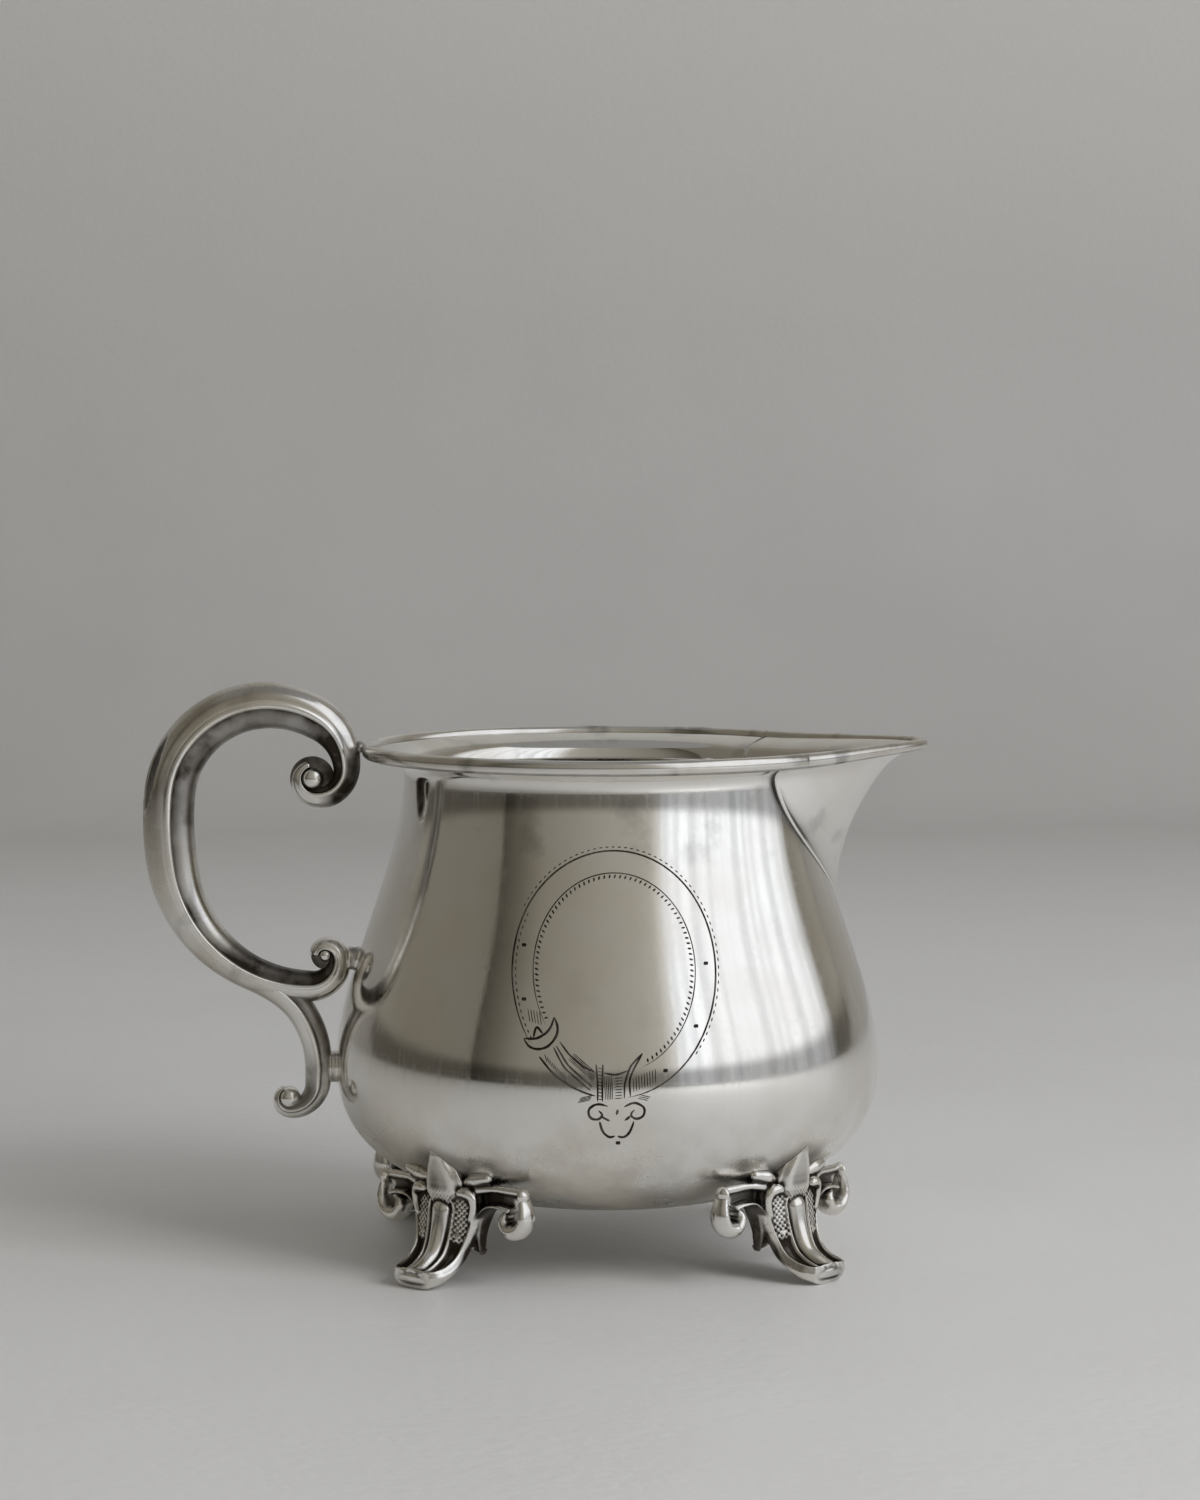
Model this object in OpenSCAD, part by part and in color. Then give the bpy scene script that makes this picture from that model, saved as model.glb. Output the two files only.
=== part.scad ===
// Silver cream jug: raised pear body, soldered beak spout, cast scroll handle and four cast feet.
// Millimetres. +X points to the spout, -X to the handle, +Z is up and the soles stand on z = 0.

/* [Body] */
// Diameter of the belly
belly_d = 84; // [81:0.5:88]
// Height of the widest part of the belly above the table
belly_z = 29.5; // [28.5:0.5:31]
// Height of the underside of the body above the table
base_z = 7.9; // [7:0.1:8.6]
// Squareness of the bottom curve, where 2 is an ellipse
base_square = 2.5; // [2.3:0.05:2.7]
// Outer diameter of the neck
neck_d = 62.8; // [60:0.2:65]
// Height of the neck, where it is narrowest
neck_z = 74.2; // [73.5:0.1:74.8]
// Thickness of the silver sheet
wall = 0.9; // [0.7:0.05:1.2]

/* [Rim] */
// Diameter over the rim wire
rim_d = 75.8; // [74.5:0.1:77]
// Height of the top of the rim wire above the table
rim_z = 78.8; // [78.4:0.1:79.6]
// Height of the wire's section
wire_h = 2.3; // [1.9:0.1:2.6]
// Breadth of the wire's section
wire_w = 1.9; // [1.5:0.1:2.3]

/* [Spout] */
// Reach of the tip of the lip from the axis of the body
spout_reach = 49.9; // [48.5:0.1:54]
// Height of the lowest point of the spout's seam above the table
seam_z = 54.2; // [51:0.5:58]
// Half angle of the mouth, seen from above, that the spout takes
seam_half_angle = 41; // [37:1:44]
// Rise of the lip over the rim
lip_lift = 0.8; // [0:0.1:1.4]

/* [Handle] */
// Gap between the top of the handle and the rim wire, along the length of the jug
handle_set_off = 14.4; // [14.3:0.1:15.5]
// Height of the middle of the handle's section at its top
handle_top_z = 84.8; // [84:0.1:86]
// Half thickness of the handle at its top
handle_half_h = 3.6; // [3.2:0.1:3.8]
// Half breadth of the handle at its top
handle_half_w = 4; // [3.5:0.1:4.5]
// Radius of the upper volute's bead
upper_bead_r = 1.7; // [1.5:0.1:1.9]
// Radius of the middle volute's bead
middle_bead_r = 1; // [0.8:0.05:1.2]
// Radius of the lower hook's bead
lower_bead_r = 1.8; // [1.6:0.1:2]
// Diameter of the collar between the middle volute and the body
middle_stud_d = 3.8; // [3:0.1:4.4]
// Length of the collar between the middle volute and the body
middle_stud_l = 1; // [0.8:0.1:1.6]
// Diameter of the collar between the branch and the belly
lower_stud_d = 5; // [4:0.1:5.6]
// Length of the collar between the branch and the belly
lower_stud_l = 0.7; // [0.6:0.1:1.2]
// Drop from the middle collar to the lower collar
collar_drop = 16.8; // [15.6:0.1:18]

/* [Feet] */
// Reach of a toe past the belly
toe_out = 2.4; // [1.5:0.1:4]
// Half breadth of a leg at its shoulders
shoulder_half_w = 6; // [5.6:0.1:6.6]
// Half breadth of a leg at its waist
waist_half_w = 4.4; // [4:0.1:4.8]
// Half breadth of a toe
toe_half_w = 4.8; // [4.4:0.1:5.4]
// Distance of a wing's volute from the middle of its leg
wing_reach = 12.3; // [11.8:0.1:13]
// Radius of the middle of a wing's strap in its volute
wing_volute_r = 1.9; // [1.7:0.1:2.1]
// Thickness of the leaf that laps onto the body above a leg
leaf_t = 1.3; // [1:0.1:1.8]

/* [Fits] */
// Solder gap between neighbouring pieces
gap = 0.06; // [0.05:0.01:0.1]

/* [Hidden] */
silver = "silver";

belly_r = belly_d / 2;
neck_r = neck_d / 2;
rim_r = rim_d / 2;
wire_mid_r = rim_r - wire_w / 2;
wire_mid_z = rim_z - wire_h / 2;
flare_r = rim_r - wire_w - gap;
flare_z = wire_mid_z - wall * 0.7;
// How far the side of the body runs straight up from the belly and down from the neck
belly_run = 13.4;
neck_run = 15;
// How far the flare runs up from the neck, and in and down from the mouth
flare_run = 1.6;
mouth_run = [2.8, 0.7];
cut_reach = belly_r + 18;

// Point on a cubic curve with four control points
function bezier(p, t) = pow(1 - t, 3) * p[0] + 3 * t * pow(1 - t, 2) * p[1]
    + 3 * t * t * (1 - t) * p[2] + pow(t, 3) * p[3];
function curve(p, steps, first = 0) = [for (i = [first:steps]) bezier(p, i / steps)];
function reversed(list) = [for (i = [len(list) - 1:-1:0]) list[i]];

// Outer profile of the body as radius and height, from the axis up to the mouth
bottom_line = [for (a = [0:6:90]) [
    belly_r * pow(sin(a), 2 / base_square),
    belly_z - (belly_z - base_z) * pow(cos(a), 2 / base_square)]];
side_line = curve([[belly_r, belly_z], [belly_r, belly_z + belly_run],
    [neck_r, neck_z - neck_run], [neck_r, neck_z]], 18, 1);
flare_line = curve([[neck_r, neck_z], [neck_r, neck_z + flare_run],
    [flare_r, flare_z] - mouth_run, [flare_r, flare_z]], 6, 1);
profile = concat(bottom_line, side_line, flare_line);

// The same line moved outwards along its normals
function moved_out(line, d) = [for (i = [0:len(line) - 1])
    let (step = line[min(i + 1, len(line) - 1)] - line[max(i - 1, 0)], t = step / norm(step))
    i == 0 ? [0, line[0][1] - d] : line[i] + d * [t[1], -t[0]]];
radius_at_height = [for (p = concat(side_line, flare_line)) [p[1], p[0]]];
function side_r(z) = lookup(z, concat([[belly_z, belly_r]], radius_at_height));
low_radius_at_height = [for (p = bottom_line) [p[1], p[0]]];
function low_r(z) = z < belly_z ? lookup(z, low_radius_at_height) : side_r(z);

// The body as a solid, grown outwards by d
module body_solid(d, facets = 90) {
    line = moved_out(profile, d);
    rotate_extrude($fn = facets)
        polygon(concat(line, [[0, line[len(line) - 1][1]]]));
}

// A closed surface through rings of equal count, its ends closed by strips across each end ring
module loft(rings) {
    n = len(rings[0]);
    last = len(rings) - 1;
    sides = [for (i = [0:last - 1]) for (j = [0:n - 1])
        let (k = (j + 1) % n, low = i * n, high = low + n)
        each [[low + j, low + k, high + j], [low + k, high + k, high + j]]];
    function strip(base, flip) = [for (j = [0:floor(n / 2) - 2])
        let (a = base + j, b = base + n - 1 - j)
        each flip ? [[a, b - 1, a + 1], [a, b, b - 1]] : [[a, a + 1, b - 1], [a, b - 1, b]]];
    polyhedron(points = [for (r = rings) each r],
        faces = concat(sides, strip(0, true), strip(last * n, false)));
}

// Spout: s runs from 0 at the bottom of the seam to 1 at the mouth, u from 1 to -1 across it
lip_tip_w = 1.5;
lip_tip_h = 1.5;
keel_swell = 9.6;
beak_round = 0.2;
spout_steps = 14;
across_steps = 14;
keel_top = spout_reach - lip_tip_w - gap;
keel_foot = side_r(seam_z);
seam_tip = 0.03;
spout_levels = [for (i = [0:spout_steps]) seam_tip + (1 - seam_tip) * i / spout_steps];
across = [for (i = [0:across_steps]) 1 - 2 * i / across_steps];
function level_z(s) = seam_z + (flare_z - seam_z) * s;
function seam_angle(s) = seam_half_angle * sin(90 * s);
// The keel swells out steadily, then turns out sharply at the lip
function keel(s) = keel_foot + keel_swell * pow(s, 2.2)
    + (keel_top - keel_foot - keel_swell) * pow(s, 24);
// Rounded V: 0 on the keel and 1 at the seam
function beak(u) = (sqrt(u * u + beak_round * beak_round) - beak_round)
    / (sqrt(1 + beak_round * beak_round) - beak_round);
function lift(u) = lip_lift * (1 - pow(u, 4));
function beak_point(u, tip_x, seam_x, seam_y, z) = [tip_x - (tip_x - seam_x) * beak(u), seam_y * u, z];

keel_wall = 1.2 * wall;
function spout_ring(s) = let (
    a = seam_angle(s), z = level_z(s), r = side_r(z), rise = pow(s, 8),
    in_x = (r - wall) * cos(a), in_y = (r - wall) * sin(a),
    outer = [for (u = across)
        beak_point(u, keel(s), r * cos(a), r * sin(a), z + rise * lift(u))],
    inner = [for (u = reversed(across))
        beak_point(u, keel(s) - keel_wall, in_x, in_y, z + rise * lift(u))])
    concat(outer, inner);

// Wedge that opens the body under the spout
cut_start = neck_r - 11;
function wedge_ring(s, top) = let (a = seam_angle(s) + gap, z = level_z(s) + top)
    [for (p = [[cut_start, a], [cut_reach, a], [cut_reach, -a], [cut_start, -a]])
        [p[0] * cos(p[1]), p[0] * sin(p[1]), z]];

module body_shell() {
    color(silver) translate([axis_x, 0, 0]) difference() {
        rotate_extrude($fn = 90)
            polygon(concat(profile, reversed(moved_out(profile, -wall))));
        loft([for (s = spout_levels) wedge_ring(s, s == 1 ? 2 * wire_h : -gap)]);
    }
}

module spout() {
    color(silver) translate([axis_x, 0, 0])
        loft([for (s = spout_levels) spout_ring(s)]);
}

// Oval wire section as points out from and up from the middle of the wire
function wire_section(w, h) = [for (a = [0:30:330]) [w / 2 * cos(a), h / 2 * sin(a)]];

module rim_wire() {
    color(silver) translate([axis_x, 0, 0]) rotate([0, 0, seam_half_angle])
        rotate_extrude(angle = 360 - 2 * seam_half_angle, $fn = 90)
            translate([wire_mid_r, wire_mid_z])
                polygon(wire_section(wire_w, wire_h));
}

lip_end_angle = seam_half_angle - 2 * gap;
function lip_point(u) = beak_point(u, spout_reach - lip_tip_w / 2,
    wire_mid_r * cos(lip_end_angle), wire_mid_r * sin(lip_end_angle), wire_mid_z + lift(u));
function lip_ring(u) = let (
    step = lip_point(max(u - 0.02, -1)) - lip_point(min(u + 0.02, 1)),
    out = [-step[1], step[0], 0] / norm([step[0], step[1]]),
    w = lip_tip_w + (wire_w - lip_tip_w) * abs(u),
    h = lip_tip_h + (wire_h - lip_tip_h) * abs(u),
    section = wire_section(w, h))
    [for (q = section) lip_point(u) + q[0] * out - [0, 0, q[1]]];

module lip_wire() {
    color(silver) translate([axis_x, 0, 0])
        loft([for (i = [0:2 * across_steps]) lip_ring(1 - i / across_steps)]);
}

// Handle: runs of arcs, each a radius, a turn in degrees, then half thickness, half breadth and the
// breadth of the inner roll as a share of the ridge, all at the end of the run
handle_top = [-(rim_r + handle_set_off), handle_top_z];
top_section = [handle_half_h, handle_half_w, 0.88];
upper_runs = [[15.1, 32, 3.3, 3.9, 0.88], [8.8, 58, 2, 3.2, 0.6], [4.6, 90, 1.7, 2.7, 0.45],
    [3, 90, 1, 2.2, 0.45], [2.3, 80, 0.7, 1.9, 0.45]];
shoulder_runs = [[15.1, 85, 4, 4.2, 0.88], [45, 15, 4, 4.2, 0.88], [22, 50, 2.7, 3.4, 0.85]];
middle_volute_r = 4.3;
middle_volute_h = 1.75;
stem_turn = 30;

// Place after a list of runs: position and heading
function after(p, a, runs, turn, i = 0) = i == len(runs) ? [p[0], p[1], a]
    : let (r = runs[i][0], b = a + turn * runs[i][1],
        c = p + r * [cos(a + turn * 90), sin(a + turn * 90)])
    after(c - r * [cos(b + turn * 90), sin(b + turn * 90)], b, runs, turn, i + 1);
// Middle of the last run's arc
function eye(p, a, runs, turn) = let (
    n = len(runs) - 1, q = after(p, a, [for (i = [0:n - 1]) runs[i]], turn))
    [q[0], q[1]] + runs[n][0] * [cos(q[2] + turn * 90), sin(q[2] + turn * 90)];
// Stations along the runs: position, heading and the section there
// A wide run takes a station every few degrees, a tight one fewer
wide_step = 8;
tight_step = 18;
function walk(p, a, section, runs, turn, tight = tight_step, i = 0) =
    i == len(runs) ? [concat(p, [a], section)]
    : let (r = runs[i][0], sweep = runs[i][1], end = [for (k = [2:4]) runs[i][k]],
        n = ceil(sweep / (r > 7 ? wide_step : tight)),
        c = p + r * [cos(a + turn * 90), sin(a + turn * 90)],
        q = after(p, a, [runs[i]], turn))
    concat([for (k = [0:n - 1]) let (b = a + turn * sweep * k / n)
        concat(c - r * [cos(b + turn * 90), sin(b + turn * 90)], [b],
            section + (end - section) * k / n)],
        walk([q[0], q[1]], q[2], end, runs, turn, tight, i + 1));
function turned_back(stations) = [for (q = reversed(stations))
    [q[0], q[1], q[2] + 180, q[3], q[4], q[5]]];
function but_last(list) = [for (i = [0:len(list) - 2]) list[i]];

// The stem runs out to where the middle volute meets its collar
stem_start = after(handle_top, 180, shoulder_runs, 1);
function stem_r_at(z) = (-side_r(z) - middle_stud_l - middle_volute_h - middle_volute_r - stem_start[0])
    / sin(stem_turn);
// Height at which the middle volute comes nearest the body, settled in a few steps
function settled_z(z, steps) = steps == 0 ? z
    : settled_z(stem_start[1] - stem_r_at(z) * (1 - cos(stem_turn)) + middle_volute_r, steps - 1);
middle_z = settled_z(stem_start[1], 4);
middle_face_x = -(side_r(middle_z) + middle_stud_l);
stem_r = stem_r_at(middle_z);
lower_runs = concat(shoulder_runs, [[stem_r, stem_turn, 2.1, 2.9, 0.8],
    [middle_volute_r, 90, middle_volute_h, 2.5, 0.5], [2.2, 90, 1.1, 2.1, 0.45],
    [1.6, 90, 0.8, 1.8, 0.45]]);
scroll_path = concat(but_last(turned_back(walk(handle_top, 0, top_section, upper_runs, -1))),
    walk(handle_top, 180, top_section, lower_runs, 1));
upper_eye = eye(handle_top, 0, upper_runs, -1);
middle_eye = eye(handle_top, 180, lower_runs, 1);
handle_reach = max([for (q = scroll_path) -q[0] - q[3] * sin(q[2])]);
axis_x = (handle_reach - spout_reach) / 2;

// Crown, ridge, groove and inner roll on one side of the section, as shares of half thickness and breadth
function half_section(h, w, roll) = [[0.84 * h, 0.5 * w], [0.48 * h, 0.86 * w], [0.14 * h, w],
    [0, 0.84 * w], [-0.3 * h, roll * w * 0.94], [-0.62 * h, roll * w * 0.9],
    [-0.9 * h, roll * w * 0.5]];
function section_ring(q, grow) = let (
    h = q[3] + grow, w = q[4] + grow, side = half_section(h, w, q[5]),
    flat = concat([[h, 0]], [for (p = side) [p[0], -p[1]]], [[-h, 0]], reversed(side)))
    [for (p = flat) [q[0] + p[0] * sin(q[2]), p[1], q[1] - p[0] * cos(q[2])]];
module scroll_sweep(grow) {
    loft([for (q = scroll_path) section_ring(q, grow)]);
}
// Round pin across the handle at a volute's eye
module across_handle(eye, r, half_w) {
    translate([eye[0], 0, eye[1]])
        rotate([90, 0, 0])
            cylinder(h = 2 * half_w, r = r, center = true, $fn = 24);
}

// Thin floors close the volutes behind their beads
floor_half_w = 0.9;
upper_floor_r = 2 * upper_bead_r;
middle_floor_r = 2.2 * middle_bead_r;
handle_breadth = 2 * max([for (q = scroll_path) q[4]]);
module handle_scroll() {
    color(silver) translate([axis_x, 0, 0])
        resize([0, handle_breadth, 0])
            difference() {
                union() {
                    scroll_sweep(0);
                    across_handle(upper_eye, upper_floor_r, floor_half_w);
                    across_handle(middle_eye, middle_floor_r, floor_half_w);
                }
                across_handle(upper_eye, upper_bead_r + gap, handle_half_w);
                across_handle(middle_eye, middle_bead_r + gap, handle_half_w);
            }
}

// Branch: up from the lower collar into the scroll, and down round the hook
branch_half_h = 2.1;
branch_section = [branch_half_h, 2.6, 0.85];
lower_stud_z = middle_z - collar_drop;
branch_face_x = -(low_r(lower_stud_z) + lower_stud_l);
branch_mid = [branch_face_x - branch_half_h, lower_stud_z];
// The upper run is the arc that leaves the collar upwards and ends on the middle of the stem
branch_half_w = 2.9;
branch_goal = after([stem_start[0], stem_start[1]], stem_start[2], [[stem_r, stem_turn / 3]], 1);
goal_run = branch_mid[0] - branch_goal[0];
goal_rise = branch_goal[1] - branch_mid[1];
branch_r = (goal_run * goal_run + goal_rise * goal_rise) / (2 * goal_run);
branch_turn = atan2(goal_rise, branch_r - goal_run);
branch_up_runs = [[branch_r, branch_turn * 0.75, 2.3, branch_half_w, 0.85],
    [branch_r, branch_turn * 0.25, 1.4, branch_half_w - 0.4, 0.85]];
hook_runs = [[30, 5, 2, 2.6, 0.85], [4.4, 85, 1.3, 2.2, 0.6], [2.1, 70, 0.8, 1.9, 0.5]];
branch_path = concat(but_last(turned_back(walk(branch_mid, 90, branch_section, branch_up_runs, 1))),
    walk(branch_mid, 270, branch_section, hook_runs, -1));
lower_eye = eye(branch_mid, 270, hook_runs, -1);
module handle_branch() {
    color(silver) translate([axis_x, 0, 0])
        resize([0, 2 * branch_half_w, 0])
            difference() {
                loft([for (q = branch_path) section_ring(q, 0)]);
                scroll_sweep(gap);
                across_handle(lower_eye, lower_bead_r + gap, handle_half_w);
            }
}

// Bead with domed ends across a volute
module bead(eye, r, half_w) {
    dome = [for (a = [0:15:90]) [r * cos(a), half_w - r * 0.6 * (1 - sin(a))]];
    color(silver) translate([axis_x + eye[0], 0, eye[1]])
        rotate([90, 0, 0])
            rotate_extrude($fn = 32)
                polygon(concat([[0, -half_w]], [for (p = reversed(dome)) [p[0], -p[1]]], dome));
}
upper_bead_half_w = 2.2;
middle_bead_half_w = 2;
lower_bead_half_w = 2.3;
module upper_bead() { bead(upper_eye, upper_bead_r, upper_bead_half_w); }
module middle_bead() { bead(middle_eye, middle_bead_r, middle_bead_half_w); }
module lower_bead() { bead(lower_eye, lower_bead_r, lower_bead_half_w); }

// Collar from the handle's face to the body, waisted between its two rings
module stud(face_x, z, d, l) {
    reach = l + 3;
    waist = d / 2 - 0.15 * l;
    color(silver) translate([axis_x, 0, 0]) difference() {
        translate([face_x + gap, 0, z])
            rotate([0, 90, 0])
                rotate_extrude($fn = 180)
                    polygon([[0, 0], [d / 2, 0], [d / 2, 0.2 * l], [waist, 0.4 * l],
                        [waist, 0.6 * l], [d / 2, 0.8 * l], [d / 2, reach], [0, reach]]);
        body_solid(gap, 720);
    }
}
module middle_stud() { stud(middle_face_x, middle_z, middle_stud_d, middle_stud_l); }
module lower_stud() { stud(branch_face_x, lower_stud_z, lower_stud_d, lower_stud_l); }

// Feet, each modelled with x out from the body's axis and y along the belly
leg_steps = 10;
toe_reach = belly_r + toe_out;
wing_x = toe_reach - 9.9;
// Height of the body's underside over the wings
seat_z = lookup(wing_x, bottom_line);
wing_z = seat_z - 4.4;
// The seat of a foot is cut in flat facets, set out by their sag so that they clear the round body
seat_facets = 48;
seat_sag = belly_r * (1 - cos(180 / seat_facets));
toe_top_z = 2.9;
toe_low_z = 0.9;
leg_front = [[toe_reach - 7.2, seat_z + 0.9], [toe_reach - 5.5, seat_z - 5.2],
    [toe_reach - 7.2, toe_top_z + 1.7], [toe_reach, toe_top_z]];
// The back line dips under the table, where the ring is cut flat for the sole
leg_back = [[toe_reach - 11.4, seat_z - 0.2], [toe_reach - 8.4, seat_z - 6.7],
    [toe_reach - 8.2, toe_low_z - 5.5], [toe_reach - 0.6, toe_low_z]];
leg_breadth = [[0, shoulder_half_w - 0.4], [0.15, shoulder_half_w], [0.6, waist_half_w],
    [0.85, toe_half_w], [0.95, toe_half_w - 0.5], [1, toe_half_w - 1.6]];
// Tongue, grooves, panels and side rims: share of the half breadth, then depth under the front line
leg_relief = [[0, -0.5], [0.34, 0.1], [0.44, 0.65], [0.7, 0.7], [0.87, 0], [1, 0.7]];
leg_across = concat([for (p = reversed(leg_relief)) [-p[0], p[1]]],
    [for (i = [1:len(leg_relief) - 1]) leg_relief[i]]);
relief_fade = 0.12;
least_leg_t = 1.2;
function leg_ring(v) = let (
    f = bezier(leg_front, v), b = bezier(leg_back, v), w = lookup(v, leg_breadth),
    deep = norm(b - f), in = (b - f) / deep,
    fade = min(1, v / relief_fade, (1 - v) / relief_fade),
    front = [for (p = leg_across) concat(f + in * p[1] * (abs(p[0]) < 1 ? fade : 1), [p[0] * w])],
    back = [for (p = reversed(leg_across))
        let (t = deep * (0.4 + 0.6 * sqrt(1 - pow(p[0], 4))))
        concat(f + in * max(t, least_leg_t), [p[0] * w])])
    [for (q = concat(front, back)) [q[0], q[2], max(q[1], 0)]];

// Wing: an arch that springs from the leg's side, and a scroll that hangs from the outer corner
arch_start = [wing_reach - 6.5, wing_z - 5.9];
arch_runs = [[7, 35, 0.7, 1.5, 1], [3.4, 70, 0.7, 1.5, 1], [8, 20, 0.7, 1.4, 1]];
corner = [wing_reach + 1.6, wing_z + 3.7];
scroll_runs = [[9, 20, 1, 1.9, 1], [wing_volute_r + 0.4, 90, 1, 1.9, 1],
    [wing_volute_r - 0.3, 90, 0.8, 1.7, 1], [1.1, 70, 0.6, 1.4, 1]];
strap_step = 24;
arch_path = walk(arch_start, 105, [0.35, 1.2, 1], arch_runs, -1, strap_step);
wing_path = walk(corner, -70, [0.9, 1.6, 1], scroll_runs, -1, strap_step);
// The web behind the arch, from a little inside the wing's plane out to the leg's back
web_in = 0.7;
web_out = 1;
// Oval strap ring in the wing's own plane
function strap_ring(q) = [for (a = [0:60:300])
    [wing_x - q[4] * sin(a), q[0] - q[3] * cos(a) * sin(q[2]), q[1] + q[3] * cos(a) * cos(q[2])]];
module ball(p, r) {
    translate(p)
        sphere(r = r, $fn = 8);
}
module rod(p, q, r, s) {
    hull() {
        ball(p, r);
        ball(q, s);
    }
}
// Ends of the rods: bar from the shoulder to the corner, knob on the shoulder, small leaf on the body
bar_start = [wing_x + 1.2, shoulder_half_w - 1, wing_z + 4];
bar_end = [wing_x, corner[0], corner[1]];
knob_top = [toe_reach - 8, shoulder_half_w - 1.2, wing_z + 3.6];
knob_low = [toe_reach - 7.4, shoulder_half_w - 1.4, wing_z + 2.4];
sprig_start = [wing_x + 1.6, shoulder_half_w - 1.6, wing_z + 5];
sprig_end = [wing_x + 0.8, shoulder_half_w + 2, wing_z + 5.6];
module wing() {
    web_root = waist_half_w - 1;
    loft([for (q = arch_path) strap_ring(q)]);
    loft([for (q = wing_path) strap_ring(q)]);
    rod(bar_start, bar_end, 1.5, 1.1);
    rod(knob_top, knob_low, 1.4, 1.2);
    rod(sprig_start, sprig_end, 1.2, 1.1);
    translate([wing_x - web_in, 0, 0])
        rotate([90, 0, 90])
            linear_extrude(web_in + web_out)
                polygon(concat([for (q = arch_path) [q[0], q[1]]],
                    [corner, [web_root, wing_z + 5], [web_root, arch_start[1]]]));
}

// Leaf that laps onto the body: discs round its tip, its sides and its foot
leaf_half_w = 3.6;
leaf_discs = [[0, seat_z + 4.3, 0.3], [0.9 - leaf_half_w, seat_z - 0.1, 0.9],
    [leaf_half_w - 0.9, seat_z - 0.1, 0.9], [0, seat_z - 1.3, 1]];
module leaf() {
    intersection() {
        rotate([90, 0, 90])
            linear_extrude(cut_reach)
                hull()
                    for (p = leaf_discs)
                        translate([p[0], p[1]])
                            circle(r = p[2], $fn = 8);
        body_solid(leaf_t, 40);
    }
}

// Rolled lip across the toe
toe_lip_r = 1.1;
toe_lip_mid = [toe_reach - 0.9, 0, 1.9];
module foot(turn) {
    color(silver) translate([axis_x, 0, 0])
        rotate([0, 0, turn])
            difference() {
                union() {
                    loft([for (i = [0:leg_steps]) leg_ring(i / leg_steps)]);
                    wing();
                    mirror([0, 1, 0])
                        wing();
                    for (side = [-1, 1])
                        rod(toe_lip_mid, toe_lip_mid + [-0.7, side * (toe_half_w - 1.6), -0.3],
                            toe_lip_r, toe_lip_r - 0.1);
                    leaf();
                }
                body_solid(gap + seat_sag, seat_facets);
            }
}
module foot_front_left() { foot(225); }
module foot_front_right() { foot(315); }
module foot_rear_left() { foot(135); }
module foot_rear_right() { foot(45); }

body_shell();
spout();
rim_wire();
lip_wire();
handle_scroll();
handle_branch();
upper_bead();
middle_bead();
lower_bead();
middle_stud();
lower_stud();
foot_front_left();
foot_front_right();
foot_rear_left();
foot_rear_right();
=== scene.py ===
import bmesh
import bpy
import numpy as np
from mathutils import Matrix, Vector


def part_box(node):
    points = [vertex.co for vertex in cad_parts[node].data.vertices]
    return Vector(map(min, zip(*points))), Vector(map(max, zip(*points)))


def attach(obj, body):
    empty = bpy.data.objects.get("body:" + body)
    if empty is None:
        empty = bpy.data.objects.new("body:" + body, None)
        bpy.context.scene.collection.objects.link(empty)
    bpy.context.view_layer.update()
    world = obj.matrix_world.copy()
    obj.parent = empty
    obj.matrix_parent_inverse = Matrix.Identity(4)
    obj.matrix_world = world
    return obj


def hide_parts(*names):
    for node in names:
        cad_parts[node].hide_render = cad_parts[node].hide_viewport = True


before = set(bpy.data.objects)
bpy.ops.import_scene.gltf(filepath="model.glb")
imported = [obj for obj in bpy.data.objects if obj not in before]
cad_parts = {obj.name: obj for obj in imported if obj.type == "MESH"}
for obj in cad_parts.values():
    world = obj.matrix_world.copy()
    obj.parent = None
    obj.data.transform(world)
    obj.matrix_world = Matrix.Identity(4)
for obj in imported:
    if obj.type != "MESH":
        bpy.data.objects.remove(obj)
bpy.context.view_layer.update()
scene = bpy.context.scene
scene.view_settings.view_transform = "Standard"
mm = 0.001


def boxOf(node):  # corners of a CAD node, in millimetres
    return [np.array(corner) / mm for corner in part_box(node)]


# Mesh helpers: every shape is a grid of points, and a grid's neighbours make its quads


def gridQuads(rows, columns, closed=False):  # quads between neighbours; closed: last column meets the first
    i = np.arange(rows - 1)[:, None]
    j = np.arange(columns if closed else columns - 1)[None, :]
    k = (j + 1) % columns
    corners = [i * columns + j, i * columns + k, (i + 1) * columns + k, (i + 1) * columns + j]
    return np.stack(np.broadcast_arrays(*corners), -1).reshape(-1, 4)


def capped(rings, shade=0.0):  # closed rings in a row, each end drawn to its own middle
    ends = [np.repeat(ring.mean(0)[None, None], rings.shape[1], 1) for ring in (rings[0], rings[-1])]
    allRings = np.concatenate([ends[0], rings, ends[1]])
    depth = np.broadcast_to(shade, rings.shape[:2])
    depth = np.concatenate([depth[:1], depth, depth[-1:]])
    return allRings.reshape(-1, 3), gridQuads(*allRings.shape[:2], closed=True), depth.ravel()


def joined(parts):  # several meshes in one: each one's indices start after the points before it
    starts = np.cumsum([0] + [len(part[0]) for part in parts[:-1]])
    points = np.concatenate([part[0] for part in parts])
    quads = np.concatenate([part[1] + start for part, start in zip(parts, starts)])
    return points, quads, np.concatenate([part[2] for part in parts])


def newMesh(name, points, quads, shade):  # points, their quads and a shade for each point, put into a mesh
    mesh = bpy.data.meshes.new(name)
    mesh.vertices.add(len(points))
    mesh.vertices.foreach_set("co", np.ascontiguousarray(points, dtype=np.float32).ravel())
    mesh.loops.add(quads.size)
    mesh.loops.foreach_set("vertex_index", quads.astype(np.int32).ravel())
    mesh.polygons.add(len(quads))
    mesh.polygons.foreach_set("loop_start", np.arange(0, quads.size, 4, dtype=np.int32))
    mesh.update(calc_edges=True)
    layer = mesh.attributes.new("shade", "FLOAT", "POINT")
    layer.data.foreach_set("value", np.ascontiguousarray(shade, dtype=np.float32))
    return mesh


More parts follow.
